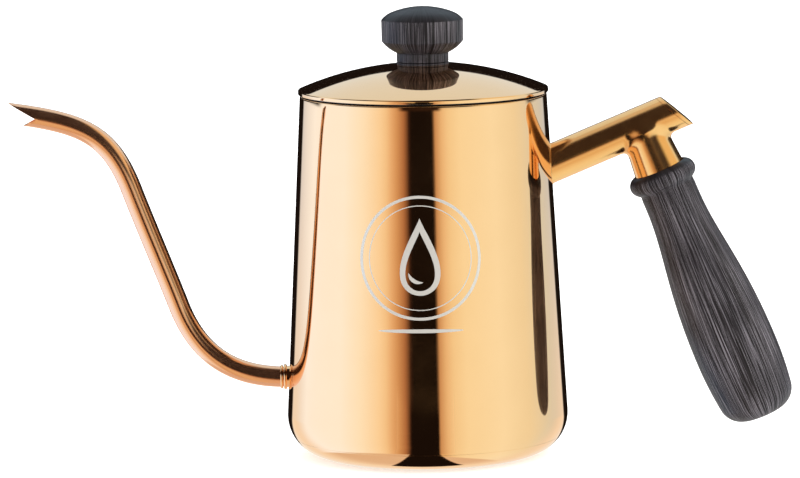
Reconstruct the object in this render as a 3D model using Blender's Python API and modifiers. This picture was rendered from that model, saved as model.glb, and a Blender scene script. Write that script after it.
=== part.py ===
"""Gooseneck pour-over kettle: plated steel body, thin curved spout, black turned-wood grip and knob.

Units are metres, +Z is up, the kettle stands on z = 0 and its axis is the Z axis.
The spout leaves towards -X and the handle towards +X.
"""

import math

import bmesh
import bpy
from mathutils import Vector

# Resolution of turned parts, in steps round the axis.
LARGE_STEPS = 48
MEDIUM_STEPS = 32
SMALL_STEPS = 20
MERGE = 0.000001
SHARP_ANGLE = 35.0
RIGHT_ANGLE = math.pi / 2

# Clearances and sheet.
GAP = 0.0003
SHEET = 0.0008

# Body wall: a straight taper from the round of the base corner up to a rolled rim.
TOP_RADIUS = 0.0390
TOP_HEIGHT = 0.1139
TAPER = 3.13
CORNER_RADIUS = 0.0128
CORNER_CENTRE = (0.0317, CORNER_RADIUS)
SEAM_ANGLE = -32.3
RIM_ROUND = 0.00055
CUTTER_HEIGHTS = (0.014, 0.112)

# Base pan: pressed floor with a stiffening groove and a lip that sits inside the wall.
FLOOR_THICKNESS = 0.0012
LIP_THICKNESS = 0.0006
LIP_TOP_ANGLE = -10.0
LIP_FOOT_ANGLE = -80.0
GROOVE_OUTER = 0.0275
GROOVE_INNER = 0.0245
GROOVE_DEPTH = 0.0005

# Spout: collar at the wall, then a thin tube along three Bezier spans.
SPOUT_HEIGHT = 0.0249
COLLAR_FACE_X = -0.0466
COLLAR_LENGTH = 0.0028
COLLAR_SMALL_RADIUS = 0.0036
COLLAR_LARGE_RADIUS = 0.0039
COLLAR_GROOVE_RADIUS = 0.0033
# Where the small bead starts and ends, the groove lies and the large bead starts, as shares of the length.
COLLAR_STATIONS = (0.07, 0.25, 0.34, 0.43)
SPIGOT_RADIUS = 0.0024
SPIGOT_LENGTH = 0.0025
SPOUT_PORT_RADIUS = 0.0019
PORT_CUT_FROM = -0.050
PORT_CUT_TO = -0.038
TUBE_RADIUS = 0.00335
TUBE_BORE_RADIUS = 0.00275
TUBE_BEVEL_RESOLUTION = 5
TUBE_SPAN_STEPS = 11
BORE_OVERRUN = 0.002
# Each point of the spout's centreline: x, z, climb angle, handle length before and after.
SPOUT_ROUTE = (
    (COLLAR_FACE_X - GAP, SPOUT_HEIGHT, 2.0, 0.0, 0.0147),
    (-0.0784, 0.0482, 70.0, 0.0172, 0.0106),
    (-0.0925, 0.0852, 70.0, 0.0106, 0.0193),
    (-0.1315, 0.1104, 8.0, 0.0244, 0.0),
)
TIP_NOTCH = (-0.1221, 0.1084)
TIP_UPPER_LIP = (-0.1303, 0.1132)
TIP_LOWER_LIP = (-0.1266, 0.1062)
TIP_CUT_REACH = 2.2
TIP_CUT_HALF_WIDTH = 0.008

# Handle: an arm tube that rises outwards, with a stub square to it that carries the grip.
# Handle parts are placed from the point where the two axes meet: local X runs along the arm.
HANDLE_JOINT = (0.0685, 0.0, 0.1034)
HANDLE_TILT = 22.4
ARM_RADIUS = 0.00605
ARM_BORE_RADIUS = 0.00485
ARM_REACH_IN = 0.0330
ARM_END_X = 0.0124
ARM_END_SLANT = math.tan(math.radians(27.9))
ARM_BORE_FROM = -0.040
ARM_BORE_TO = 0.020
END_CAP_THICKNESS = 0.00136
STUB_TOP_RADIUS = 0.0069
STUB_END_RADIUS = 0.0081
STUB_WALL = 0.0012
STUB_END_Z = -0.0156
STUB_START_Z = -0.0010
PLUG_TOP_Z = -0.0095
PLUG_RADIUS = 0.0060
STUD_RADIUS = 0.0030
STUD_TOP_Z = -0.0090
STUD_END_Z = -0.0420

# Grip: bead, waist, swelling and rounded end, measured down from the centre of the bead.
GRIP_BEAD_Z = -0.0179
GRIP_BEAD_RADIUS = 0.01095
GRIP_BEAD_ROUND = 0.0032
GRIP_BEAD_END_ANGLE = -60.0
GRIP_WAIST_RADIUS = 0.0089
GRIP_WAIST_START = 0.0040
GRIP_WAIST_END = 0.0080
GRIP_SWELL_RADIUS = 0.01320
GRIP_SWELL = 0.0600
GRIP_UPPER_PULL = 0.0150
GRIP_LOWER_PULL = 0.0265
GRIP_TAPER_ROUND = 0.1170
GRIP_TAPER_ANGLE = 8.0
GRIP_CORNER_ROUND = 0.0070
GRIP_CORNER_ANGLE = 80.0
GRIP_SEAT_RADIUS = 0.0085
GRIP_SEAT_DEPTH = 0.0014
INSERT_RADIUS = 0.0050
INSERT_LENGTH = 0.0140

# Lid: shallow dome with a thick straight edge that rests on the rim.
LID_APEX = 0.1244
DOME_RADIUS = 0.1000
LID_RADIUS = 0.0395
LID_EDGE_THICKNESS = 0.0011
LID_EDGE_CHAMFER = 0.0003
LID_BOTTOM = 0.1148
SKIRT_RADIUS = 0.0375
SKIRT_THICKNESS = 0.0006
SKIRT_BOTTOM = 0.1070
SKIRT_TOP = 0.1160
SKIRT_FLANGE = 0.0030
VENT_CENTRE = (0.0288, 0.0098)
VENT_RADIUS = 0.0019
VENT_CUT_REACH = 0.005

# Knob: turned neck, flared underside, drum and domed top.
KNOB_NECK_RADIUS = 0.0082
KNOB_NECK_TOP = 0.1276
KNOB_RADIUS = 0.01284
KNOB_FLARE_ROUND = 0.0119
KNOB_FLARE_ANGLES = (24.0, 52.0)
KNOB_EDGE_ROUND = 0.0006
KNOB_SHOULDER_HEIGHT = 0.1381
KNOB_SHOULDER_ROUND = 0.0079
KNOB_SHOULDER_ANGLES = (50.0, 20.0)
KNOB_DOME_ROUND = 0.0265
SCREW_RADIUS = 0.0020
SCREW_TOP = 0.1340
SCREW_HEAD_RADIUS = 0.0038
SCREW_HEAD_THICKNESS = 0.0024
SCREW_SOCKET_RADIUS = 0.0014
SCREW_SOCKET_DEPTH = 0.0014
WASHER_RADIUS = 0.0050
WASHER_THICKNESS = 0.0008
SPRING_WASHER_RADIUS = 0.0038
SPRING_WASHER_THICKNESS = 0.0009
SPLIT_FROM = 0.001
SPLIT_TO = 0.006
SPLIT_SCALE = (1.0, 0.5, 2.0)
CHAMFER_SHARE = 0.25
KNOB_INSERT_RADIUS = 0.0035
KNOB_INSERT_TOP = 0.1335


def clear_scene():
    for item in list(bpy.data.objects):
        bpy.data.objects.remove(item, do_unlink=True)


def new_collection(name):
    collection = bpy.data.collections.new(name)
    bpy.context.scene.collection.children.link(collection)
    return collection


def new_material(name, colour, metallic, roughness):
    material = bpy.data.materials.new(name)
    material.use_nodes = True
    shader = material.node_tree.nodes["Principled BSDF"]
    shader.inputs["Base Color"].default_value = (*colour, 1.0)
    shader.inputs["Metallic"].default_value = metallic
    shader.inputs["Roughness"].default_value = roughness
    return material


def mirror_plating():
    return new_material("mirror_plating", (0.90, 0.55, 0.34), 1.0, 0.06)


def satin_plating():
    return new_material("satin_plating", (0.86, 0.52, 0.32), 1.0, 0.22)


def black_wood():
    return new_material("black_wood", (0.035, 0.030, 0.035), 0.0, 0.50)


def bare_steel():
    return new_material("bare_steel", (0.62, 0.62, 0.63), 1.0, 0.30)


def bare_brass():
    return new_material("bare_brass", (0.78, 0.60, 0.28), 1.0, 0.30)


def wall_radius(height):
    """Outer radius of the tapered wall at this height."""
    return TOP_RADIUS + (TOP_HEIGHT - height) * math.tan(math.radians(TAPER))


def dome_height(radius):
    """Height of the lid's outer surface at this distance from the axis."""
    return LID_APEX - DOME_RADIUS + math.sqrt(DOME_RADIUS**2 - radius**2)


def arc(centre, radius, start, end, steps):
    """Points on a circle in the profile plane, from one angle to another, in degrees."""
    points = []
    for step in range(steps + 1):
        angle = math.radians(start + (end - start) * step / steps)
        points.append((centre[0] + radius * math.cos(angle), centre[1] + radius * math.sin(angle)))
    return points


def turn(start, radius, from_slope, to_slope, steps):
    """Points that go down and outwards from start on a round whose slope goes from one angle to another."""
    centre = (
        start[0] - radius * math.sin(math.radians(from_slope)),
        start[1] - radius * math.cos(math.radians(from_slope)),
    )
    return arc(centre, radius, 90.0 - from_slope, 90.0 - to_slope, steps)


def bezier(start, start_handle, end_handle, end, steps):
    """Points on a cubic Bezier curve in the profile plane, both ends included."""
    points = []
    for step in range(steps + 1):
        t = step / steps
        weights = ((1 - t) ** 3, 3 * (1 - t) ** 2 * t, 3 * (1 - t) * t**2, t**3)
        corners = (start, start_handle, end_handle, end)
        points.append(tuple(sum(w * c[axis] for w, c in zip(weights, corners)) for axis in (0, 1)))
    return points


def link(item, collection, material=None, parent=None):
    collection.objects.link(item)
    if material:
        item.data.materials.append(material)
    if parent:
        item.parent = parent
    return item


def shade(mesh):
    mesh.shade_smooth()
    mesh.set_sharp_from_angle(angle=math.radians(SHARP_ANGLE))


def turned(name, outline, steps, ring=False):
    """An outline of (radius, height) points turned about local Z. A ring's outline is closed on itself."""
    mesh = bpy.data.meshes.new(name)
    count = len(outline)
    edges = [(index, index + 1) for index in range(count - 1)]
    if ring:
        edges.append((count - 1, 0))
    mesh.from_pydata([(radius, 0.0, height) for radius, height in outline], edges, [])
    item = bpy.data.objects.new(name, mesh)
    screw = item.modifiers.new("turn", "SCREW")
    screw.axis = "Z"
    screw.angle = 2 * math.pi
    screw.steps = steps
    screw.render_steps = steps
    screw.use_smooth_shade = True
    screw.use_merge_vertices = True
    screw.merge_threshold = MERGE
    return item


def cylinder(name, radius, start, end, steps=SMALL_STEPS, slant=0.0):
    """A bar along local X between two places. Slant leans its far end face back at the top."""
    shape = bmesh.new()
    bmesh.ops.create_cone(
        shape, cap_ends=True, segments=steps, radius1=radius, radius2=radius, depth=end - start
    )
    for vertex in shape.verts:
        along = vertex.co.z + (start + end) / 2
        vertex.co = Vector((along, vertex.co.y, -vertex.co.x))
        if along > (start + end) / 2:
            vertex.co.x -= slant * vertex.co.z
    mesh = bpy.data.meshes.new(name)
    shape.to_mesh(mesh)
    shape.free()
    shade(mesh)
    return bpy.data.objects.new(name, mesh)


def as_cutter(item, collection, parent=None):
    item.hide_render = True
    item.display_type = "WIRE"
    return link(item, collection, parent=parent)


def boolean(item, other, operation):
    modifier = item.modifiers.new(operation.lower(), "BOOLEAN")
    modifier.operation = operation
    modifier.solver = "EXACT"
    modifier.object = other


def to_mesh(curve_item, name):
    """A mesh object with a curve's evaluated shape, its caps welded. The curve is removed."""
    bpy.context.view_layer.update()
    evaluated = curve_item.evaluated_get(bpy.context.evaluated_depsgraph_get())
    mesh = bpy.data.meshes.new_from_object(evaluated)
    mesh.name = name
    mesh.materials.clear()
    shape = bmesh.new()
    shape.from_mesh(mesh)
    bmesh.ops.remove_doubles(shape, verts=shape.verts, dist=MERGE)
    bmesh.ops.recalc_face_normals(shape, faces=shape.faces)
    shape.to_mesh(mesh)
    shape.free()
    shade(mesh)
    item = bpy.data.objects.new(name, mesh)
    item.matrix_world = curve_item.matrix_world
    bpy.data.objects.remove(curve_item, do_unlink=True)
    return item


# Body


def wall_cutter(cutters):
    """The space the body takes up, one gap larger: it trims whatever is welded on to the wall."""
    low, high = CUTTER_HEIGHTS
    outline = [
        (0.0, high),
        (wall_radius(high) + GAP, high),
        (wall_radius(low) + GAP, low),
        (0.0, low),
    ]
    return as_cutter(turned("wall_cutter", outline, LARGE_STEPS), cutters)


def body_wall(parts, cutters, material):
    outline = arc((TOP_RADIUS - RIM_ROUND, TOP_HEIGHT), RIM_ROUND, 180.0, TAPER, 6)
    outline += arc(CORNER_CENTRE, CORNER_RADIUS, TAPER, SEAM_ANGLE, 4)
    outline += arc(CORNER_CENTRE, CORNER_RADIUS - SHEET, SEAM_ANGLE, TAPER, 4)
    outline += [(TOP_RADIUS - SHEET, TOP_HEIGHT - RIM_ROUND)]
    wall = turned("body_wall", outline, LARGE_STEPS, ring=True)
    link(wall, parts, material)
    port = cylinder("spout_port_cutter", SPOUT_PORT_RADIUS + GAP, PORT_CUT_FROM, PORT_CUT_TO)
    port.location.z = SPOUT_HEIGHT
    boolean(wall, as_cutter(port, cutters), "DIFFERENCE")


def base_pan(parts, material):
    lip_radius = CORNER_RADIUS - SHEET - GAP
    seam_gap = math.degrees(GAP / CORNER_RADIUS)
    outline = arc(CORNER_CENTRE, lip_radius, LIP_TOP_ANGLE, SEAM_ANGLE - seam_gap, 2)
    outline += arc(CORNER_CENTRE, CORNER_RADIUS, SEAM_ANGLE - seam_gap, -90.0, 6)
    outline += [
        (GROOVE_OUTER, 0.0),
        (GROOVE_OUTER - GROOVE_DEPTH, GROOVE_DEPTH),
        (GROOVE_INNER + GROOVE_DEPTH, GROOVE_DEPTH),
        (GROOVE_INNER, 0.0),
        (0.0, 0.0),
        (0.0, FLOOR_THICKNESS),
        (CORNER_CENTRE[0] - FLOOR_THICKNESS, FLOOR_THICKNESS),
    ]
    outline += arc(CORNER_CENTRE, lip_radius - LIP_THICKNESS, LIP_FOOT_ANGLE, LIP_TOP_ANGLE, 4)
    # The floor crosses the axis, so the outline is opened there: it runs from the inner face outwards.
    start = outline.index((0.0, FLOOR_THICKNESS))
    outline = outline[start:] + outline[:start]
    link(turned("base_pan", outline, LARGE_STEPS), parts, material)


# Spout


def spout_collar(parts, cutter, material):
    """Two beads with a groove between them against the wall, and a spigot into the tube's bore."""
    small_start, small_end, groove, large_start = (-share * COLLAR_LENGTH for share in COLLAR_STATIONS)
    outline = [
        (SPIGOT_RADIUS, SPIGOT_LENGTH),
        (SPIGOT_RADIUS, 0.0),
        (COLLAR_GROOVE_RADIUS, 0.0),
        (COLLAR_SMALL_RADIUS, small_start),
        (COLLAR_SMALL_RADIUS, small_end),
        (COLLAR_GROOVE_RADIUS, groove),
        (COLLAR_LARGE_RADIUS, large_start),
        (COLLAR_LARGE_RADIUS, -2 * COLLAR_LENGTH),
        (SPOUT_PORT_RADIUS, -2 * COLLAR_LENGTH),
        (SPOUT_PORT_RADIUS, SPIGOT_LENGTH),
    ]
    collar = turned("spout_collar", outline, SMALL_STEPS, ring=True)
    collar.location = (COLLAR_FACE_X, 0.0, SPOUT_HEIGHT)
    collar.rotation_euler.y = -RIGHT_ANGLE
    link(collar, parts, material)
    boolean(collar, cutter, "DIFFERENCE")


def spout_curve(name, radius, overrun):
    """A round bar along the spout's route, run on straight past both ends by the overrun."""
    data = bpy.data.curves.new(name, "CURVE")
    data.dimensions = "3D"
    data.bevel_depth = radius
    data.bevel_resolution = TUBE_BEVEL_RESOLUTION
    data.resolution_u = TUBE_SPAN_STEPS
    data.use_fill_caps = True
    spline = data.splines.new("BEZIER")
    spline.bezier_points.add(len(SPOUT_ROUTE) - 1)
    last = len(SPOUT_ROUTE) - 1
    for index, (x, z, climb, before, after) in enumerate(SPOUT_ROUTE):
        forward = Vector((-math.cos(math.radians(climb)), 0.0, math.sin(math.radians(climb))))
        shift = {0: -overrun, last: overrun}.get(index, 0.0)
        centre = Vector((x, 0.0, z)) + shift * forward
        point = spline.bezier_points[index]
        point.handle_left_type = "FREE"
        point.handle_right_type = "FREE"
        point.co = centre
        point.handle_left = centre - (before + max(shift, 0.0)) * forward
        point.handle_right = centre + (after - min(shift, 0.0)) * forward
    item = bpy.data.objects.new(name, data)
    bpy.context.scene.collection.objects.link(item)
    return item


def tip_cutter(cutters):
    """The wedge that leaves the spout's end with a long upper and a short lower lip."""
    notch = Vector(TIP_NOTCH)
    upper = notch + TIP_CUT_REACH * (Vector(TIP_UPPER_LIP) - notch)
    lower = notch + TIP_CUT_REACH * (Vector(TIP_LOWER_LIP) - notch)
    data = bpy.data.curves.new("tip_outline", "CURVE")
    data.dimensions = "2D"
    data.fill_mode = "BOTH"
    data.extrude = TIP_CUT_HALF_WIDTH
    spline = data.splines.new("POLY")
    spline.points.add(3)
    corners = (notch, upper, Vector((upper.x, lower.y)), lower)
    for point, corner in zip(spline.points, corners):
        point.co = (corner.x, corner.y, 0.0, 1.0)
    spline.use_cyclic_u = True
    outline = bpy.data.objects.new("tip_outline", data)
    outline.rotation_euler.x = RIGHT_ANGLE
    bpy.context.scene.collection.objects.link(outline)
    return as_cutter(to_mesh(outline, "tip_cutter"), cutters)


def spout_tube(parts, cutters, material):
    tube = to_mesh(spout_curve("spout_route", TUBE_RADIUS, 0.0), "spout_tube")
    link(tube, parts, material)
    bore = to_mesh(spout_curve("spout_bore_route", TUBE_BORE_RADIUS, BORE_OVERRUN), "spout_bore_cutter")
    boolean(tube, as_cutter(bore, cutters), "DIFFERENCE")
    boolean(tube, tip_cutter(cutters), "DIFFERENCE")


# Handle


def handle_frame(parts):
    frame = bpy.data.objects.new("handle_frame", None)
    frame.location = HANDLE_JOINT
    frame.rotation_euler.y = -math.radians(HANDLE_TILT)
    return link(frame, parts)


def stub_outline(inset, start, end):
    """The tapered stub's side, from its start near the arm's axis to its end."""
    slope = (STUB_END_RADIUS - STUB_TOP_RADIUS) / (STUB_END_Z - STUB_START_Z)
    radii = [STUB_TOP_RADIUS + slope * (z - STUB_START_Z) - inset for z in (start, end)]
    return [(0.0, start), (radii[0], start), (radii[1], end), (0.0, end)]


def handle_arm(parts, cutters, wall, frame, material):
    end = ARM_END_X - END_CAP_THICKNESS - GAP
    arm = cylinder("handle_arm", ARM_RADIUS, -ARM_REACH_IN, end, MEDIUM_STEPS, ARM_END_SLANT)
    link(arm, parts, material, frame)
    stub = turned("stub_body", stub_outline(0.0, STUB_START_Z, STUB_END_Z), MEDIUM_STEPS)
    boolean(arm, as_cutter(stub, cutters, frame), "UNION")
    arm_bore = cylinder("arm_bore_cutter", ARM_BORE_RADIUS, ARM_BORE_FROM, ARM_BORE_TO, MEDIUM_STEPS)
    boolean(arm, as_cutter(arm_bore, cutters, frame), "DIFFERENCE")
    outline = stub_outline(STUB_WALL, -ARM_BORE_RADIUS, 2 * STUB_END_Z)
    stub_bore = turned("stub_bore_cutter", outline, MEDIUM_STEPS)
    boolean(arm, as_cutter(stub_bore, cutters, frame), "DIFFERENCE")
    boolean(arm, wall, "DIFFERENCE")


def handle_end_cap(parts, frame, material):
    """An oval plate that closes the arm on its slanted end."""
    start = ARM_END_X - END_CAP_THICKNESS
    cap = cylinder("handle_end_cap", ARM_RADIUS, start, ARM_END_X, MEDIUM_STEPS)
    for vertex in cap.data.vertices:
        vertex.co.x -= ARM_END_SLANT * vertex.co.z
    link(cap, parts, material, frame)


def stub_plug(parts, frame, material):
    """The threaded boss in the stub's mouth that holds the stud."""
    outline = [
        (PLUG_RADIUS, PLUG_TOP_Z),
        (PLUG_RADIUS, STUB_END_Z),
        (STUD_RADIUS + GAP, STUB_END_Z),
        (STUD_RADIUS + GAP, PLUG_TOP_Z),
    ]
    link(turned("stub_plug", outline, MEDIUM_STEPS, ring=True), parts, material, frame)


def grip_stud(parts, frame, material):
    chamfer = STUD_RADIUS * CHAMFER_SHARE
    outline = [
        (0.0, STUD_TOP_Z),
        (STUD_RADIUS - chamfer, STUD_TOP_Z),
        (STUD_RADIUS, STUD_TOP_Z - chamfer),
        (STUD_RADIUS, STUD_END_Z + chamfer),
        (STUD_RADIUS - chamfer, STUD_END_Z),
        (0.0, STUD_END_Z),
    ]
    link(turned("grip_stud", outline, SMALL_STEPS), parts, material, frame)


def insert_top():
    return GRIP_BEAD_Z + GRIP_BEAD_ROUND - GRIP_SEAT_DEPTH - GAP


def grip_insert(parts, frame, material):
    """Threaded sleeve pressed into the wood."""
    top = insert_top()
    outline = [
        (INSERT_RADIUS, top),
        (INSERT_RADIUS, top - INSERT_LENGTH),
        (STUD_RADIUS + GAP, top - INSERT_LENGTH),
        (STUD_RADIUS + GAP, top),
    ]
    link(turned("grip_insert", outline, SMALL_STEPS, ring=True), parts, material, frame)


def grip(parts, frame, material):
    def down(distance):
        return GRIP_BEAD_Z - distance

    bead_centre = (GRIP_BEAD_RADIUS - GRIP_BEAD_ROUND, GRIP_BEAD_Z)
    seat_floor = GRIP_BEAD_Z + GRIP_BEAD_ROUND - GRIP_SEAT_DEPTH
    insert_end = insert_top() - INSERT_LENGTH - GAP
    bore_end = STUD_END_Z - 2 * GAP
    seat_angle = math.degrees(math.acos((GRIP_SEAT_RADIUS - bead_centre[0]) / GRIP_BEAD_ROUND))
    outline = [
        (0.0, bore_end),
        (STUD_RADIUS + GAP, bore_end),
        (STUD_RADIUS + GAP, insert_end),
        (INSERT_RADIUS + GAP, insert_end),
        (INSERT_RADIUS + GAP, seat_floor),
        (GRIP_SEAT_RADIUS, seat_floor),
    ]
    outline += arc(bead_centre, GRIP_BEAD_ROUND, seat_angle, GRIP_BEAD_END_ANGLE, 6)
    outline += [(GRIP_WAIST_RADIUS, down(GRIP_WAIST_START))]
    outline += bezier(
        (GRIP_WAIST_RADIUS, down(GRIP_WAIST_END)),
        (GRIP_WAIST_RADIUS, down(GRIP_WAIST_END + GRIP_UPPER_PULL)),
        (GRIP_SWELL_RADIUS, down(GRIP_SWELL - GRIP_LOWER_PULL)),
        (GRIP_SWELL_RADIUS, down(GRIP_SWELL)),
        8,
    )
    taper = turn(outline[-1], GRIP_TAPER_ROUND, 90.0, 90.0 + GRIP_TAPER_ANGLE, 2)
    outline += taper[1:]
    corner = turn(taper[-1], GRIP_CORNER_ROUND, 90.0 + GRIP_TAPER_ANGLE, 90.0 + GRIP_CORNER_ANGLE, 6)
    outline += corner[1:]
    crown = corner[-1][0] * math.tan(math.radians((90.0 - GRIP_CORNER_ANGLE) / 2))
    outline += [(0.0, corner[-1][1] - crown)]
    link(turned("grip", outline, MEDIUM_STEPS), parts, material, frame)


# Lid


def lid_frame(parts):
    """The lid's own origin, on the axis it lifts along."""
    return link(bpy.data.objects.new("lid_frame", None), parts)


def lid_shell(parts, cutters, frame, material):
    """The dome, its thick edge, the screw hole and the vent hole."""
    hole = SCREW_RADIUS + GAP
    shoulder = LID_RADIUS - LID_EDGE_CHAMFER
    inner = LID_RADIUS - LID_EDGE_THICKNESS
    radii = [hole + (shoulder - hole) * step / 8 for step in range(9)]
    outline = [(radius, dome_height(radius)) for radius in radii]
    outline += [
        (LID_RADIUS, dome_height(shoulder) - LID_EDGE_CHAMFER),
        (LID_RADIUS, LID_BOTTOM + LID_EDGE_CHAMFER),
        (shoulder, LID_BOTTOM),
        (inner, LID_BOTTOM),
        (inner, dome_height(inner) - SHEET),
    ]
    outline += [(radius, dome_height(radius) - SHEET) for radius in reversed(radii[:-1])]
    shell = turned("lid_shell", outline, LARGE_STEPS, ring=True)
    link(shell, parts, material, frame)
    vent = cylinder("vent_cutter", VENT_RADIUS, -VENT_CUT_REACH, VENT_CUT_REACH)
    vent.rotation_euler.y = RIGHT_ANGLE
    vent.location = (*VENT_CENTRE, dome_height(Vector(VENT_CENTRE).length))
    boolean(shell, as_cutter(vent, cutters, frame), "DIFFERENCE")


def lid_skirt(parts, frame, material):
    """The ring that drops inside the rim, with a flange turned in under the dome."""
    inner = SKIRT_RADIUS - SKIRT_THICKNESS
    flange_drop = dome_height(SKIRT_RADIUS) - SHEET - SKIRT_TOP
    flange = inner - SKIRT_FLANGE
    flange_top = dome_height(flange) - SHEET - flange_drop
    outline = [
        (flange, flange_top),
        (SKIRT_RADIUS, SKIRT_TOP),
        (SKIRT_RADIUS, SKIRT_BOTTOM),
        (inner, SKIRT_BOTTOM),
        (inner, SKIRT_TOP - SKIRT_THICKNESS),
        (flange, flange_top - SKIRT_THICKNESS),
    ]
    link(turned("lid_skirt", outline, LARGE_STEPS, ring=True), parts, material, frame)


def knob(parts, frame, material):
    screw_clear = SCREW_RADIUS + GAP
    insert_clear = KNOB_INSERT_RADIUS + GAP
    shoulder, brow = KNOB_SHOULDER_ANGLES
    shoulder_run = [math.sin(math.radians(angle)) for angle in KNOB_SHOULDER_ANGLES]
    shoulder_rise = [math.cos(math.radians(angle)) for angle in KNOB_SHOULDER_ANGLES]
    brow_radius = KNOB_RADIUS - KNOB_SHOULDER_ROUND * (shoulder_run[0] - shoulder_run[1])
    brow_height = KNOB_SHOULDER_HEIGHT + KNOB_SHOULDER_ROUND * (shoulder_rise[1] - shoulder_rise[0])
    apex = brow_height + KNOB_DOME_ROUND * (1 - math.cos(math.asin(brow_radius / KNOB_DOME_ROUND)))
    outline = turn((0.0, apex), KNOB_DOME_ROUND, 0.0, brow, 4)
    outline += turn((brow_radius, brow_height), KNOB_SHOULDER_ROUND, brow, shoulder, 4)
    steep, shallow = (180.0 - angle for angle in reversed(KNOB_FLARE_ANGLES))
    flare_height = KNOB_NECK_TOP + KNOB_FLARE_ROUND * (
        math.cos(math.radians(KNOB_FLARE_ANGLES[0])) - math.cos(math.radians(KNOB_FLARE_ANGLES[1]))
    )
    drum_foot = flare_height + KNOB_EDGE_ROUND * math.cos(math.radians(KNOB_FLARE_ANGLES[1]))
    outline += turn((KNOB_RADIUS, drum_foot), KNOB_EDGE_ROUND, 90.0, 180.0 - KNOB_FLARE_ANGLES[1], 2)
    outline += turn(outline[-1], KNOB_FLARE_ROUND, steep, shallow, 4)[1:]
    outline += [
        (KNOB_NECK_RADIUS, dome_height(KNOB_NECK_RADIUS) + GAP),
        (insert_clear, dome_height(insert_clear) + GAP),
        (insert_clear, KNOB_INSERT_TOP + GAP),
        (screw_clear, KNOB_INSERT_TOP + GAP),
        (screw_clear, SCREW_TOP + 2 * GAP),
        (0.0, SCREW_TOP + 2 * GAP),
    ]
    link(turned("knob", outline, MEDIUM_STEPS), parts, material, frame)


def knob_insert(parts, frame, material):
    bottom = LID_APEX + 2 * GAP
    outline = [
        (KNOB_INSERT_RADIUS, KNOB_INSERT_TOP),
        (KNOB_INSERT_RADIUS, bottom),
        (SCREW_RADIUS + GAP, bottom),
        (SCREW_RADIUS + GAP, KNOB_INSERT_TOP),
    ]
    link(turned("knob_insert", outline, SMALL_STEPS, ring=True), parts, material, frame)


def washer_top():
    return dome_height(WASHER_RADIUS) - SHEET - GAP


def flat_ring(name, radius, top, thickness):
    hole = SCREW_RADIUS + GAP
    outline = [(radius, top), (radius, top - thickness), (hole, top - thickness), (hole, top)]
    return turned(name, outline, SMALL_STEPS, ring=True)


def knob_washer(parts, frame, material):
    link(flat_ring("knob_washer", WASHER_RADIUS, washer_top(), WASHER_THICKNESS), parts, material, frame)


def spring_washer_top():
    return washer_top() - WASHER_THICKNESS - GAP


def knob_spring_washer(parts, cutters, frame, material):
    """A ring split on one side."""
    top = spring_washer_top()
    ring = flat_ring("knob_spring_washer", SPRING_WASHER_RADIUS, top, SPRING_WASHER_THICKNESS)
    link(ring, parts, material, frame)
    split = cylinder("washer_split_cutter", SPRING_WASHER_THICKNESS, SPLIT_FROM, SPLIT_TO, 4)
    split.location.z = top - SPRING_WASHER_THICKNESS / 2
    split.scale = SPLIT_SCALE
    boolean(ring, as_cutter(split, cutters, frame), "DIFFERENCE")


def knob_screw(parts, frame, material):
    """A round-headed screw with a socket, driven up from inside the lid."""
    head_top = spring_washer_top() - SPRING_WASHER_THICKNESS - GAP
    head_bottom = head_top - SCREW_HEAD_THICKNESS
    chamfer = SCREW_RADIUS * CHAMFER_SHARE
    outline = [
        (0.0, SCREW_TOP),
        (SCREW_RADIUS - chamfer, SCREW_TOP),
        (SCREW_RADIUS, SCREW_TOP - chamfer),
        (SCREW_RADIUS, head_top),
        (SCREW_HEAD_RADIUS, head_top),
        (SCREW_HEAD_RADIUS, head_top - SCREW_HEAD_THICKNESS / 2),
        (SCREW_HEAD_RADIUS - chamfer, head_bottom),
        (SCREW_SOCKET_RADIUS, head_bottom),
        (SCREW_SOCKET_RADIUS, head_bottom + SCREW_SOCKET_DEPTH),
        (0.0, head_bottom + SCREW_SOCKET_DEPTH),
    ]
    link(turned("knob_screw", outline, SMALL_STEPS), parts, material, frame)


def main():
    clear_scene()
    parts = new_collection("gooseneck_kettle")
    cutters = new_collection("cutters")
    mirror = mirror_plating()
    satin = satin_plating()
    wood = black_wood()
    steel = bare_steel()
    brass = bare_brass()

    wall = wall_cutter(cutters)
    body_wall(parts, cutters, mirror)
    base_pan(parts, mirror)
    spout_collar(parts, wall, satin)
    spout_tube(parts, cutters, satin)

    handle = handle_frame(parts)
    handle_arm(parts, cutters, wall, handle, satin)
    handle_end_cap(parts, handle, satin)
    stub_plug(parts, handle, steel)
    grip_stud(parts, handle, steel)
    grip_insert(parts, handle, brass)
    grip(parts, handle, wood)

    lid = lid_frame(parts)
    lid_shell(parts, cutters, lid, mirror)
    lid_skirt(parts, lid, mirror)
    knob(parts, lid, wood)
    knob_insert(parts, lid, brass)
    knob_washer(parts, lid, steel)
    knob_spring_washer(parts, cutters, lid, steel)
    knob_screw(parts, lid, steel)


main()
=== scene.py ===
"""Looks of the gooseneck kettle: mirror-plated body and lid, satin spout and arm, black turned wood.

Units are metres and +Z is up. The spout leaves towards -X, the handle towards +X, and the camera
looks along +Y. Every piece stands for one CAD node and rides on that node's body.
"""

from math import acos, asin, atan2, ceil, cos, degrees, dist, pi, radians, sin, sqrt, tan

import bmesh
import bpy
import numpy as np
from mathutils import Matrix, Vector

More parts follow.
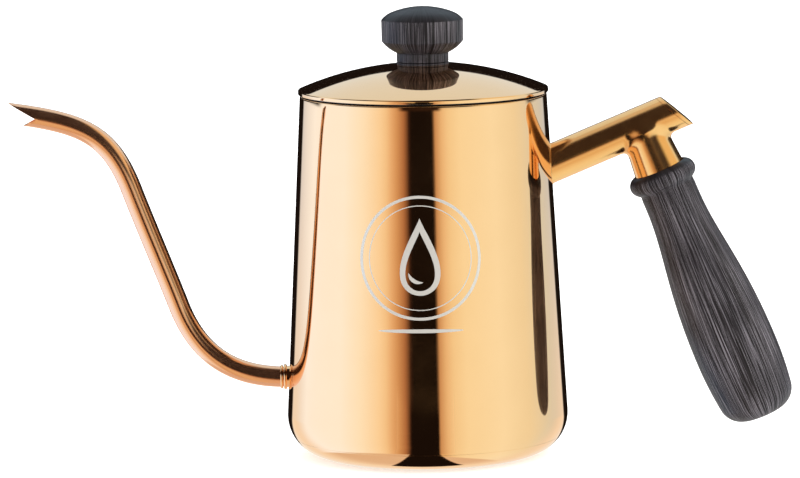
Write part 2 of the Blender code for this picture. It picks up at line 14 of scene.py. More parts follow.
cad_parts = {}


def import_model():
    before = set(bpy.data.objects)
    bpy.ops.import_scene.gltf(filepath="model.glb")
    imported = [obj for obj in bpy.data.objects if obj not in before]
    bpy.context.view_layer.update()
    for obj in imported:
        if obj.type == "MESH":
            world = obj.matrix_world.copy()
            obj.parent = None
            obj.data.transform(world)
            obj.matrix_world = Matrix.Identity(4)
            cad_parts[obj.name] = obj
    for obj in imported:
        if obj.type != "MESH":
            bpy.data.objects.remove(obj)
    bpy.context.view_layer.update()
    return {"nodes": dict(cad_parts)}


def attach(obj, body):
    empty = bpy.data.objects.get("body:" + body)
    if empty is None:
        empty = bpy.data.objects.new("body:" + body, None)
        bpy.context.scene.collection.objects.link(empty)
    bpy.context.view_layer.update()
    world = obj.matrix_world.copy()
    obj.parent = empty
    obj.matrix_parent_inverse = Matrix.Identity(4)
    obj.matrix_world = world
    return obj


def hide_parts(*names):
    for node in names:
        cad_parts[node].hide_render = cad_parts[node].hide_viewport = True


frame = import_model()

# Resolution: steps round the axis of large, medium and small turned pieces, and the longest side
# of a face along an outline.
LARGE_STEPS = 256
MEDIUM_STEPS = 128
SMALL_STEPS = 64
LONGEST_FACE = 0.0015
MERGE = 0.0000001
SHARP_ANGLE = radians(32.0)

# Body: a straight taper from the round of the base corner to a rolled rim, closed by a pressed pan.
# Angles on the corner are in degrees, and the seam is a shallow groove between two rounded edges.
SHEET = 0.0008
TOP_RADIUS = 0.0390
TOP_HEIGHT = 0.1139
TAPER = 3.13
CORNER_RADIUS = 0.0128
CORNER_CENTRE = (0.0317, CORNER_RADIUS)
SEAM_ANGLE = -32.3
SEAM_WALL_ROUND = 0.00009
SEAM_PAN_ROUND = 0.00009
SEAM_WALL_SWEEP = 75.0
SEAM_PAN_SWEEP = 100.0
RIM_ROUND = 0.00055
FLOOR_THICKNESS = 0.0012
PAN_LIP = 0.0006
PAN_LIP_GAP = 0.00012
PAN_LIP_ANGLES = (-10.0, -80.0)
GROOVE_OUTER = 0.0275
GROOVE_INNER = 0.0245
GROOVE_DEPTH = 0.0005
PORT_RADIUS = 0.0022

# Spout: a collar of two beads, then a thin tube along three Bezier spans, notched at the tip.
SPOUT_HEIGHT = 0.0249
COLLAR_FACE_X = -0.0466
COLLAR_ROOT_X = -0.0434
# Each bead's centre (radius and local z from the face), and the radius of its round.
SMALL_BEAD = ((0.00342, -0.00042), 0.00042)
LARGE_BEAD = ((0.00358, -0.00154), 0.00050)
COLLAR_GROOVE_RADIUS = 0.00312
COLLAR_GROOVE_DEPTHS = (-0.00092, -0.00104)
COLLAR_SLEEVE_RADIUS = 0.00345
COLLAR_SLEEVE_DEPTH = -0.00206
TUBE_RADIUS = 0.00335
TUBE_BORE_RADIUS = 0.00275
TUBE_SIDES = 72
TUBE_ROWS = 150
# Each point of the spout's centreline: x, z, climb angle, handle length before and after.
SPOUT_ROUTE = (
    (-0.0464, SPOUT_HEIGHT, 2.0, 0.0, 0.0152),
    (-0.0784, 0.0482, 70.0, 0.0172, 0.0106),
    (-0.0925, 0.0852, 70.0, 0.0106, 0.0193),
    (-0.1315, 0.1104, 8.0, 0.0244, 0.0),
)
TIP_NOTCH = Vector((-0.1221, 0.1084))
TIP_UPPER_LIP = Vector((-0.1303, 0.1132))
TIP_LOWER_LIP = Vector((-0.1266, 0.1062))
TIP_EDGE_ROUND = 0.00012
# Metres per unit of the route, used to step back from the tip by the edge's round.
EDGE_PACE = 0.043

# Handle: local X runs along the arm and local Z along the stub, from the point where their axes meet.
HANDLE_JOINT = Vector((0.0685, 0.0, 0.1034))
HANDLE_TILT = radians(22.4)
HANDLE_PLACE = Matrix.Translation(HANDLE_JOINT) @ Matrix.Rotation(-HANDLE_TILT, 4, "Y")
ARM_RADIUS = 0.00605
ARM_REACH_IN = 0.0330
ARM_END_X = 0.0124
ARM_END_SLANT = tan(radians(27.9))
END_CAP_THICKNESS = 0.00136
END_CAP_ROUND = 0.00030
END_CAP_BEVEL = 0.00008
END_CAP_GAP = 0.00006
ARM_CUT_HEIGHTS = (0.060, TOP_HEIGHT)
STUB_TOP_RADIUS = 0.0069
STUB_END_RADIUS = 0.0081
STUB_START_Z = -0.0025
STUB_END_Z = -0.0156
STUB_FILLET = 0.0022
STUB_CAP_SQUASH = 1.6
ARM_VOXEL = 0.00045
WELD_RADIUS = 0.00024

# Grip: bead, waist, swelling and rounded end, measured down from the centre of the bead.
GRIP_BEAD_Z = -0.0179
GRIP_BEAD_RADIUS = 0.01095
GRIP_BEAD_ROUND = 0.0032
GRIP_WAIST_RADIUS = 0.0089
GRIP_WAIST_START = 0.0040
GRIP_WAIST_END = 0.0080
GRIP_SWELL_RADIUS = 0.01320
GRIP_SWELL = 0.0600
GRIP_UPPER_PULL = 0.0150
GRIP_LOWER_PULL = 0.0265
GRIP_TAPER_ROUND = 0.1170
GRIP_TAPER_ANGLE = 8.0
GRIP_CORNER_ROUND = 0.0070
GRIP_CORNER_ANGLE = 80.0
GRIP_SEAT_RADIUS = 0.0085
GRIP_SEAT_DEPTH = 0.0014
GRIP_HOLE_RADIUS = 0.0053
GRIP_HOLE_END = -0.0426

# Lid: shallow dome with a thick straight edge, and the ring that drops inside the rim.
LID_APEX = 0.1244
DOME_RADIUS = 0.1000
LID_RADIUS = 0.0395
LID_BOTTOM = 0.11500
LID_EDGE_THICKNESS = 0.0011
LID_SHOULDER_ROUND = 0.0005
LID_FOOT_ROUND = 0.0002
SCREW_HOLE_RADIUS = 0.0023
VENT_CENTRE = (0.0288, 0.0098)
VENT_RADIUS = 0.0019
SKIRT_RADIUS = 0.0375
SKIRT_THICKNESS = 0.0006
SKIRT_BOTTOM = 0.1070
SKIRT_TOP = 0.1160
SKIRT_FLANGE = 0.0030
# Above this height the skirt's outside is painted black, as the shadow in the gap under the lid's edge.
GAP_SHADOW_HEIGHT = 0.1128

# Knob: turned neck, flared underside, drum and domed top.
KNOB_NECK_RADIUS = 0.0082
KNOB_NECK_TOP = 0.1276
KNOB_RADIUS = 0.01284
KNOB_FLARE_ROUND = 0.0119
KNOB_FLARE_ANGLES = (24.0, 52.0)
KNOB_EDGE_ROUND = 0.0006
KNOB_SHOULDER_HEIGHT = 0.1381
KNOB_SHOULDER_ROUND = 0.0079
KNOB_SHOULDER_ANGLES = (50.0, 20.0)
KNOB_DOME_ROUND = 0.0265
KNOB_GROOVE_HEIGHT = 0.0007
KNOB_GROOVE_HALF = 0.00018
KNOB_HOLE_RADIUS = 0.0038
KNOB_HOLE_TOP = 0.1346

# Front mark: a plain drop in a ring, over a short bar, etched on the wall.
MARK_HEIGHT = 0.0677
MARK_ANGLE = radians(-2.7)
MARK_PROUD = 0.00002
MARK_RING = (0.0193, 0.0184)
MARK_HAIRLINE = (0.0163, 0.0160)
# The drop's half width, half height and centre: outside, then inside.
DROP_OUTSIDE = (0.0088, 0.0120, 0.0004)
DROP_INSIDE = (0.0064, 0.0092, -0.0010)
# The crescent's radius, width, centre and end angles, and the bar's half length, half width and height.
CRESCENT = (0.0036, 0.0012, (0.0, -0.0040), 190.0, 285.0)
BAR = (0.0130, 0.0006, -0.0226)

# Stage.
CAMERA_TARGET = Vector((-0.0080, 0.0, 0.0684))
CAMERA_DISTANCE = 1.605
CAMERA_TILT = radians(7.4)
CAMERA_ROLL = radians(-0.88)
CAMERA_LENS = 228.15
SENSOR_WIDTH = 36.0
FLOOR_HALF = 12.0
FLOOR_GAP = 0.0002


# Outlines


def wall_radius(height):
    """Outer radius of the tapered wall at this height."""
    return TOP_RADIUS + (TOP_HEIGHT - height) * tan(radians(TAPER))


def dome_height(radius):
    """Height of the lid's outer surface at this distance from the axis."""
    return LID_APEX - DOME_RADIUS + sqrt(DOME_RADIUS**2 - radius**2)


def arc(centre, radius, start, end, steps):
    """Points on a circle in the profile plane, from one angle to another, in degrees."""
    points = []
    for step in range(steps + 1):
        angle = radians(start + (end - start) * step / steps)
        points.append((centre[0] + radius * cos(angle), centre[1] + radius * sin(angle)))
    return points


def turn(start, radius, from_slope, to_slope, steps):
    """Points that go down and outwards from start on a round whose slope goes from one angle to another."""
    centre = (
        start[0] - radius * sin(radians(from_slope)),
        start[1] - radius * cos(radians(from_slope)),
    )
    return arc(centre, radius, 90.0 - from_slope, 90.0 - to_slope, steps)


def bezier(start, start_handle, end_handle, end, steps):
    """Points on a cubic Bezier curve, both ends included."""
    points = []
    for step in range(steps + 1):
        t = step / steps
        weights = ((1 - t) ** 3, 3 * (1 - t) ** 2 * t, 3 * (1 - t) * t**2, t**3)
        corners = (start, start_handle, end_handle, end)
        points.append(tuple(sum(w * c[axis] for w, c in zip(weights, corners)) for axis in (0, 1)))
    return points


def split_long(outline, longest=LONGEST_FACE):
    """The outline with its long straight sides cut into equal shorter ones."""
    points = [outline[0]]
    for start, end in zip(outline, outline[1:]):
        pieces = max(1, ceil(dist(start, end) / longest))
        for step in range(1, pieces + 1):
            share = step / pieces
            points.append(tuple(a + share * (b - a) for a, b in zip(start, end)))
    return points


# Mesh building


def grid_mesh(name, rows, wrap_rows=False, wrap_columns=True):
    """A mesh over a grid of points, rows x columns x 3, joined into quads. Doubled points are merged."""
    count, sides = len(rows), len(rows[0])
    faces = []
    for row in range(count if wrap_rows else count - 1):
        after = (row + 1) % count
        for side in range(sides if wrap_columns else sides - 1):
            beside = (side + 1) % sides
            faces.append(
                (row * sides + side, row * sides + beside, after * sides + beside, after * sides + side)
            )
    mesh = bpy.data.meshes.new(name)
    mesh.from_pydata([tuple(point) for line in rows for point in line], [], faces)
    return mesh


def close_up(mesh):
    """Merges doubled points, fills round ends and turns every face outwards."""
    shape = bmesh.new()
    shape.from_mesh(mesh)
    bmesh.ops.remove_doubles(shape, verts=shape.verts, dist=MERGE)
    bmesh.ops.holes_fill(shape, edges=shape.edges, sides=0)
    bmesh.ops.recalc_face_normals(shape, faces=shape.faces)
    shape.to_mesh(mesh)
    shape.free()
    mesh.shade_smooth()
    mesh.set_sharp_from_angle(angle=SHARP_ANGLE)


def lathe(name, outline, steps, ring=False):
    """A mesh of an outline of (radius, height) points turned about Z. A ring's outline closes on itself."""
    angles = np.linspace(0.0, 2 * pi, steps, endpoint=False)
    points = np.array(outline)
    rows = np.empty((len(points), steps, 3))
    rows[:, :, 0] = points[:, :1] * np.cos(angles)
    rows[:, :, 1] = points[:, :1] * np.sin(angles)
    rows[:, :, 2] = points[:, 1:]
    mesh = grid_mesh(name, rows, wrap_rows=ring)
    close_up(mesh)
    return mesh


def new_piece(name, mesh, materials, place=Matrix.Identity(4)):
    for material in materials:
        mesh.materials.append(material)
    piece = bpy.data.objects.new(name, mesh)
    piece.matrix_world = place
    bpy.context.scene.collection.objects.link(piece)
    return piece


def cut(mesh, cutter_mesh):
    """The mesh with a cutter's shape taken out of it."""
    body = bpy.data.objects.new("cut_body", mesh)
    cutter = bpy.data.objects.new("cutter", cutter_mesh)
    for item in (body, cutter):
        bpy.context.scene.collection.objects.link(item)
    modifier = body.modifiers.new("cut", "BOOLEAN")
    modifier.operation = "DIFFERENCE"
    modifier.solver = "EXACT"
    modifier.object = cutter
    bpy.context.view_layer.update()
    evaluated = body.evaluated_get(bpy.context.evaluated_depsgraph_get())
    result = bpy.data.meshes.new_from_object(evaluated)
    result.name = mesh.name
    for item in (body, cutter):
        bpy.data.objects.remove(item, do_unlink=True)
    return result


def bar_mesh(name, radius, start, end, steps=SMALL_STEPS):
    """A round bar about Z from one height to another."""
    return lathe(name, [(0.0, end), (radius, end), (radius, start), (0.0, start)], steps)


def line_inside(mesh, index, test):
    """Gives the faces whose centre and normal pass the test a second material."""
    for polygon in mesh.polygons:
        if test(polygon.center, polygon.normal):
            polygon.material_index = index


# Materials


def node(tree, kind, values=None, **settings):
    item = tree.nodes.new(kind)
    for key, value in settings.items():
        setattr(item, key, value)
    for key, value in (values or {}).items():
        if isinstance(value, bpy.types.NodeSocket):
            tree.links.new(value, item.inputs[key])
        else:
            item.inputs[key].default_value = value
    return item


def maths(operation, *values):
    """A Math node. At least one of the values is a socket."""
    tree = next(value.id_data for value in values if isinstance(value, bpy.types.NodeSocket))
    return node(tree, "ShaderNodeMath", dict(enumerate(values)), operation=operation).outputs[0]


def times(first, second):
    return maths("MULTIPLY", first, second)


def remap(value, low, high, to_low=0.0, to_high=1.0, smooth=True):
    values = {"Value": value, "From Min": low, "From Max": high, "To Min": to_low, "To Max": to_high}
    kind = "SMOOTHSTEP" if smooth else "LINEAR"
    return node(value.id_data, "ShaderNodeMapRange", values, interpolation_type=kind).outputs[0]


def mix_colour(share, first, second):
    values = {0: share}
    for index, value in ((6, first), (7, second)):
        values[index] = value if isinstance(value, bpy.types.NodeSocket) else (*value, 1.0)
    return node(share.id_data, "ShaderNodeMix", values, data_type="RGBA").outputs[2]


def colour_ramp(value, stops):
    item = node(value.id_data, "ShaderNodeValToRGB", {"Fac": value})
    ramp = item.color_ramp
    while len(ramp.elements) < len(stops):
        ramp.elements.new(0.5)
    for element, (position, colour) in zip(ramp.elements, sorted(stops)):
        element.position = position
        element.color = (*colour, 1.0)
    return item.outputs["Color"]


def noise(vector, scale, detail=3.0, roughness=0.5):
    values = {"Vector": vector, "Scale": scale, "Detail": detail, "Roughness": roughness}
    return node(vector.id_data, "ShaderNodeTexNoise", values).outputs["Fac"]


def stretched(vector, scale):
    return node(vector.id_data, "ShaderNodeMapping", {"Vector": vector, "Scale": scale}).outputs["Vector"]


def bump(height, distance, below=None):
    values = {"Height": height, "Distance": distance}
    if below is not None:
        values["Normal"] = below
    return node(height.id_data, "ShaderNodeBump", values).outputs["Normal"]


def vector_maths(operation, first, second=None):
    values = {0: first} if second is None else {0: first, 1: second}
    return node(first.id_data, "ShaderNodeVectorMath", values, operation=operation).outputs[0]


def parts_of(vector):
    """The X, Y and Z of a vector as three sockets."""
    return node(vector.id_data, "ShaderNodeSeparateXYZ", {"Vector": vector}).outputs[:]


def new_material(name, colour, metallic, roughness):
    """A Principled material. Gives its node tree, its shader and the piece's own coordinates."""
    material = bpy.data.materials.new(name)
    material.use_nodes = True
    tree = material.node_tree
    shader = tree.nodes["Principled BSDF"]
    shader.inputs["Base Color"].default_value = (*colour, 1.0)
    shader.inputs["Metallic"].default_value = metallic
    shader.inputs["Roughness"].default_value = roughness
    place = node(tree, "ShaderNodeTexCoord").outputs["Object"]
    return material, tree, shader, place


def connect(shader, colour, roughness, normal):
    """Links a look's colour, roughness and relief to the shader."""
    for name, value in (("Base Color", colour), ("Roughness", roughness), ("Normal", normal)):
        if value is not None:
            shader.id_data.links.new(value, shader.inputs[name])


PLATING = (0.96, 0.57, 0.29)


def mirror_plating():
    """Rose-gold plating polished to a mirror, with faint polishing haze and a very slight waviness."""
    material, tree, shader, place = new_material("mirror_plating", PLATING, 1.0, 0.04)
    haze = noise(place, 90.0, 4.0)
    lines = noise(stretched(place, (500.0, 500.0, 5000.0)), 1.0, 2.0)
    worn = maths("ADD", times(haze, 0.6), times(lines, 0.4))
    tint = mix_colour(haze, (0.97, 0.58, 0.30), (0.94, 0.555, 0.28))
    waves = bump(noise(stretched(place, (1.0, 1.0, 0.5)), 28.0, 1.0), 0.00006)
    connect(shader, tint, remap(worn, 0.35, 0.75, 0.025, 0.075), bump(lines, 0.0000008, below=waves))
    return material


def satin_plating(name, light, deep):
    """Rose-gold plating over a finely sanded surface, brushed along the tube."""
    material, tree, shader, place = new_material(name, PLATING, 1.0, 0.16)
    along = node(tree, "ShaderNodeUVMap", uv_map="along_round").outputs["UV"]
    brushed = noise(stretched(along, (60.0, 5200.0, 1.0)), 1.0, 3.0, 0.6)
    cloud = noise(place, 160.0, 3.0)
    mixed = maths("ADD", times(brushed, 0.7), times(cloud, 0.3))
    rough = remap(mixed, 0.3, 0.7, 0.12, 0.22)
    connect(shader, mix_colour(cloud, light, deep), rough, bump(brushed, 0.000002))
    return material


def black_wood():
    """Black-stained open-grained wood: fine fibres and long thin pale pores that follow the turned sides."""
    material, tree, shader, place = new_material("black_wood", (0.02, 0.018, 0.02), 0.0, 0.45)
    round_way = vector_maths("NORMALIZE", vector_maths("MULTIPLY", place, (1.0, 1.0, 0.0)))
    grain = vector_maths("ADD", round_way, vector_maths("MULTIPLY", place, (0.0, 0.0, 1.0)))
    up = parts_of(node(tree, "ShaderNodeTexCoord").outputs["Normal"])[2]
    side = remap(up, 0.25, 0.70, 1.0, 0.0)

    fibres = noise(stretched(grain, (130.0, 130.0, 70.0)), 1.0, 2.0, 0.5)
    streaks = noise(stretched(grain, (38.0, 38.0, 22.0)), 1.0, 2.0, 0.5)
    pores = noise(stretched(grain, (150.0, 150.0, 45.0)), 1.0, 0.0, 0.0)
    bands = noise(stretched(grain, (5.0, 5.0, 8.0)), 1.0, 2.0)
    pore = times(remap(pores, 0.60, 0.67), side)
    dark = mix_colour(remap(streaks, 0.35, 0.7), (0.0045, 0.004, 0.0045), (0.019, 0.016, 0.020))
    brown = mix_colour(remap(bands, 0.5, 0.75, 0.0, 0.5), dark, (0.018, 0.0135, 0.016))
    fibre = times(remap(fibres, 0.50, 0.78, 0.0, 0.6), side)
    tone = mix_colour(fibre, brown, (0.060, 0.053, 0.062))
    final = mix_colour(times(pore, 0.75), tone, (0.34, 0.31, 0.34))
    relief = bump(times(fibres, side), 0.00003)
    connect(shader, final, remap(fibres, 0.3, 0.7, 0.34, 0.50), bump(pore, -0.00004, below=relief))
    shader.inputs["Specular IOR Level"].default_value = 0.22
    shader.inputs["Specular Tint"].default_value = (0.96, 0.90, 0.86, 1.0)
    return material


def turned_metal(name, light, dark, low, high):
    """Bare metal with fine turning marks round local Z."""
    material, tree, shader, place = new_material(name, light, 1.0, (low + high) / 2)
    x, y, z = parts_of(place)
    reach = maths("SQRT", maths("ADD", maths("POWER", x, 2.0), maths("POWER", y, 2.0)))
    rings = node(tree, "ShaderNodeCombineXYZ", {"X": reach, "Y": z}).outputs["Vector"]
    marks = noise(stretched(rings, (5000.0, 5000.0, 1.0)), 1.0, 3.0, 0.6)
    tint = mix_colour(noise(place, 120.0, 3.0), light, dark)
    connect(shader, tint, remap(marks, 0.3, 0.7, low, high), bump(marks, 0.000004))
    return material


def bare_steel():
    return turned_metal("bare_steel", (0.66, 0.65, 0.63), (0.56, 0.555, 0.55), 0.20, 0.36)


def bare_brass():
    return turned_metal("bare_brass", (0.83, 0.62, 0.30), (0.72, 0.52, 0.24), 0.22, 0.38)


def etched_steel():
    """The etched mark: bare steel with an even, fine-grained satin."""
    material, tree, shader, place = new_material("etched_steel", (0.80, 0.77, 0.72), 0.5, 0.5)
    grain = noise(place, 9000.0, 2.0)
    tint = mix_colour(grain, (0.66, 0.63, 0.585), (0.58, 0.555, 0.515))
    connect(shader, tint, remap(grain, 0.3, 0.7, 0.42, 0.60), bump(grain, 0.000006))
    return material


def painted_gap_shadow():
    """Painted shadow: a black band on the lid's skirt that shows as a thin dark line in the gap between lid
    and rim.
    """
    material, tree, shader, place = new_material("painted_gap_shadow", (0.012, 0.010, 0.010), 0.0, 0.6)
    grain = noise(place, 2500.0, 3.0)
    tint = mix_colour(grain, (0.016, 0.013, 0.013), (0.007, 0.006, 0.006))
    connect(shader, tint, remap(grain, 0.3, 0.7, 0.5, 0.7), bump(grain, 0.00001))
    shader.inputs["Specular IOR Level"].default_value = 0.2
    return material


def pale_floor():
    """A white floor with a glow of its own, which keeps the kettle's shadow pale."""
    material, tree, shader, place = new_material("pale_floor", (0.96, 0.96, 0.96), 0.0, 0.7)
    grain = noise(place, 300.0, 4.0)
    tint = mix_colour(grain, (0.97, 0.97, 0.965), (0.95, 0.95, 0.945))
    connect(shader, tint, None, bump(grain, 0.00005))
    shader.inputs["Emission Color"].default_value = (1.0, 1.0, 1.0, 1.0)
    shader.inputs["Emission Strength"].default_value = 0.5
    return material


# Body


def on_corner(angle, radius):
    """Centre of a round that touches the base corner from inside at this angle."""
    reach = CORNER_RADIUS - radius
    slope = radians(angle)
    return (CORNER_CENTRE[0] + reach * cos(slope), CORNER_CENTRE[1] + reach * sin(slope))


def degrees_of(length):
    """The angle that a short length takes up on the base corner."""
    return degrees(length / CORNER_RADIUS)


def body_wall(plating, steel):
    outline = arc((TOP_RADIUS - RIM_ROUND, TOP_HEIGHT), RIM_ROUND, 180.0, TAPER, 20)
    last = SEAM_ANGLE + degrees_of(SEAM_WALL_ROUND)
    wall = [outline[-1]] + arc(CORNER_CENTRE, CORNER_RADIUS, TAPER, last, 40)
    outline += split_long(wall)[1:]
    outline += arc(on_corner(last, SEAM_WALL_ROUND), SEAM_WALL_ROUND, last, last - SEAM_WALL_SWEEP, 10)[1:]
    outline += arc(CORNER_CENTRE, CORNER_RADIUS - SHEET, SEAM_ANGLE, TAPER, 16)
    outline += split_long([outline[-1], (TOP_RADIUS - SHEET, TOP_HEIGHT - RIM_ROUND)])[1:]
    mesh = lathe("body_wall", outline, LARGE_STEPS, ring=True)
    port = bar_mesh("port", PORT_RADIUS, 0.038, 0.050)
    port.transform(Matrix.Translation((0.0, 0.0, SPOUT_HEIGHT)) @ Matrix.Rotation(-pi / 2, 4, "Y"))
    mesh = cut(mesh, port)
    line_inside(mesh, 1, lambda centre, normal: normal.xy.dot(centre.xy) < 0.0 and centre.z < TOP_HEIGHT)
    piece = new_piece("body_wall_fine", mesh, (plating, steel))
    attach(piece, "kettle")
    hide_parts("body_wall")


def base_pan(plating, steel):
    lip_radius = CORNER_RADIUS - SHEET - PAN_LIP_GAP
    lip_top, lip_foot = PAN_LIP_ANGLES
    first = SEAM_ANGLE - degrees_of(SEAM_PAN_ROUND)
    outline = arc(CORNER_CENTRE, lip_radius, lip_top, SEAM_ANGLE, 8)
    outline += arc(on_corner(first, SEAM_PAN_ROUND), SEAM_PAN_ROUND, first + SEAM_PAN_SWEEP, first, 12)
    outline += arc(CORNER_CENTRE, CORNER_RADIUS, first, -90.0, 32)[1:]
    outline += split_long(
        [
            (GROOVE_OUTER, 0.0),
            (GROOVE_OUTER - GROOVE_DEPTH, GROOVE_DEPTH),
            (GROOVE_INNER + GROOVE_DEPTH, GROOVE_DEPTH),
            (GROOVE_INNER, 0.0),
            (0.0, 0.0),
        ]
    )
    inside = split_long([(0.0, FLOOR_THICKNESS), (CORNER_CENTRE[0] - FLOOR_THICKNESS, FLOOR_THICKNESS)])
    inside += arc(CORNER_CENTRE, lip_radius - PAN_LIP, lip_foot, lip_top, 20)
    mesh = lathe("base_pan", inside + outline, LARGE_STEPS)

    def is_inside(centre, normal):
        offset = Vector((centre.xy.length, centre.z)) - Vector(CORNER_CENTRE)
        return normal.z > 0.5 and offset.length < lip_radius - PAN_LIP / 2 or normal.z > 0.9

    line_inside(mesh, 1, is_inside)
    piece = new_piece("base_pan_fine", mesh, (plating, steel))
    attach(piece, "kettle")
    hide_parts("base_pan")


# Spout


def route_point(u):
    """Centre and climb angle on the spout's centreline, from 0 at the collar to 3 at the tip."""
    span = min(int(u), len(SPOUT_ROUTE) - 2)
    t = u - span
    corners = []
    for index, side in ((span, 1), (span + 1, -1)):
        x, z, climb, before, after = SPOUT_ROUTE[index]
        point = Vector((x, z))
        forward = Vector((-cos(radians(climb)), sin(radians(climb))))
        reach = after if side > 0 else before
        corners += [point, point + side * reach * forward] if side > 0 else [point - reach * forward, point]
    a, b, c, d = corners
    centre = (1 - t) ** 3 * a + 3 * (1 - t) ** 2 * t * b + 3 * (1 - t) * t**2 * c + t**3 * d
    speed = (1 - t) ** 2 * (b - a) + 2 * (1 - t) * t * (c - b) + t**2 * (d - c)
    return centre, atan2(speed.y, -speed.x)


def tube_point(u, side_angle, radius):
    """A point at this radius round the centreline. Angle 0 is the upper side."""
    centre, climb = route_point(u)
    rise = radius * cos(side_angle)
    return Vector(
        (
            centre.x + rise * sin(climb),
            radius * sin(side_angle),
            centre.y + rise * cos(climb),
        )
    )


def in_notch(point):
    """Above zero inside the wedge that the notched tip leaves open."""
    place = Vector((point.x, point.z)) - TIP_NOTCH
    upper = TIP_UPPER_LIP - TIP_NOTCH
    lower = TIP_LOWER_LIP - TIP_NOTCH
    return min(upper.cross(place), place.cross(lower))


def tube_end(side_angle, radius):
    """How far along the route this line of the tube runs before the notch cuts it."""
    last = len(SPOUT_ROUTE) - 1
    low, step = last - 1.0, 0.01
    while low < last and in_notch(tube_point(low, side_angle, radius)) <= 0.0:
        low += step
    if low >= last:
        return float(last)
    high, low = low, low - step
    for _ in range(24):
        middle = (low + high) / 2
        if in_notch(tube_point(middle, side_angle, radius)) > 0.0:
            high = middle
        else:
            low = middle
    return low


def tube_line(side_angle):
    """One line of the tube: out along the outer side, over the rounded end, back along the bore."""
    outer_end = tube_end(side_angle, TUBE_RADIUS)
    inner_end = tube_end(side_angle, TUBE_BORE_RADIUS)
    edge = TIP_EDGE_ROUND
    back = edge / EDGE_PACE
    spread = [3.0 * (row / TUBE_ROWS) for row in range(TUBE_ROWS + 1)]
    line = [tube_point(u / 3.0 * (outer_end - back), side_angle, TUBE_RADIUS) for u in spread]
    rim = [
        (outer_end - 0.3 * back, TUBE_RADIUS - 0.3 * edge),
        (tube_end(side_angle, TUBE_RADIUS - edge), TUBE_RADIUS - edge),
        (tube_end(side_angle, TUBE_BORE_RADIUS + edge), TUBE_BORE_RADIUS + edge),
        (inner_end - 0.3 * back, TUBE_BORE_RADIUS + 0.3 * edge),
    ]
    line += [tube_point(u, side_angle, radius) for u, radius in rim]
    line += [tube_point(u / 3.0 * (inner_end - back), side_angle, TUBE_BORE_RADIUS) for u in reversed(spread)]
    return line


def name_uv(mesh, rows, sides):
    """A UV map in metres: along the grid's rows and round its sides."""
    layer = mesh.uv_layers.new(name="along_round")
    points = np.array([vertex.co[:] for vertex in mesh.vertices]).reshape(rows, sides, 3)
    steps = np.linalg.norm(np.diff(points[:, 0], axis=0), axis=1)
    along = np.concatenate([[0.0], np.cumsum(steps)])
    for polygon in mesh.polygons:
        for loop_index, vertex in zip(polygon.loop_indices, polygon.vertices):
            row, side = divmod(vertex, sides)
            around = side / sides * 2 * pi * TUBE_RADIUS
            if side == 0 and max(v % sides for v in polygon.vertices) == sides - 1:
                around = 2 * pi * TUBE_RADIUS
            layer.data[loop_index].uv = (along[row], around)


def spout_tube(plating):
    angles = [2 * pi * side / TUBE_SIDES for side in range(TUBE_SIDES)]
    lines = [tube_line(angle) for angle in angles]
    rows = list(zip(*lines))
    mesh = grid_mesh("spout_tube", rows, wrap_rows=True)
    name_uv(mesh, len(rows), TUBE_SIDES)
    close_up(mesh)
    piece = new_piece("spout_tube_fine", mesh, (plating,))
    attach(piece, "kettle")
    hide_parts("spout_tube")


def spout_collar(plating):
    """Two beads with a groove between them, on a short sleeve that ends in the wall."""
    length = COLLAR_FACE_X - COLLAR_ROOT_X
    outline = [(TUBE_RADIUS, 0.0)]
    outline += arc(*SMALL_BEAD, 80.0, -70.0, 12)
    outline += [(COLLAR_GROOVE_RADIUS, depth) for depth in COLLAR_GROOVE_DEPTHS]
    outline += arc(*LARGE_BEAD, 75.0, -80.0, 12)
    outline += [(COLLAR_SLEEVE_RADIUS, COLLAR_SLEEVE_DEPTH), (COLLAR_SLEEVE_RADIUS, length)]
    outline += [(TUBE_BORE_RADIUS, length), (TUBE_BORE_RADIUS, 0.0)]
    mesh = lathe("spout_collar", outline, SMALL_STEPS, ring=True)
    place = Matrix.Translation((COLLAR_FACE_X, 0.0, SPOUT_HEIGHT)) @ Matrix.Rotation(-pi / 2, 4, "Y")
    piece = new_piece("spout_collar_fine", mesh, (plating,), place)
    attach(piece, "kettle")
    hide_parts("spout_collar")


# Handle


def arm_field(points):
    """Distance to the arm tube blended with the tapered stub, in the handle's own frame."""
    along, across, square = points.T
    tube = np.hypot(across, square) - ARM_RADIUS
    slope = (STUB_END_RADIUS - STUB_TOP_RADIUS) / (STUB_END_Z - STUB_START_Z)
    below = np.minimum(square - STUB_START_Z, 0.0)
    above = np.maximum(square - STUB_START_Z, 0.0) * STUB_CAP_SQUASH
    stub = np.sqrt(along**2 + across**2 + above**2) - (STUB_TOP_RADIUS + slope * below)
    overlap = np.maximum(STUB_FILLET - np.abs(tube - stub), 0.0) / STUB_FILLET
    return np.minimum(tube, stub) - overlap**2 * STUB_FILLET / 4


def arm_slope(points):
    """The direction in which the field grows, as unit vectors."""
    reach = 0.000005
    slope = np.empty_like(points)
    for axis in range(3):
        shift = np.zeros(3)
        shift[axis] = reach
        slope[:, axis] = (arm_field(points + shift) - arm_field(points - shift)) / (2 * reach)
    return slope / np.linalg.norm(slope, axis=1, keepdims=True)


def vertex_array(mesh):
    points = np.empty(len(mesh.vertices) * 3)
    mesh.vertices.foreach_get("co", points)
    return points.reshape(-1, 3)


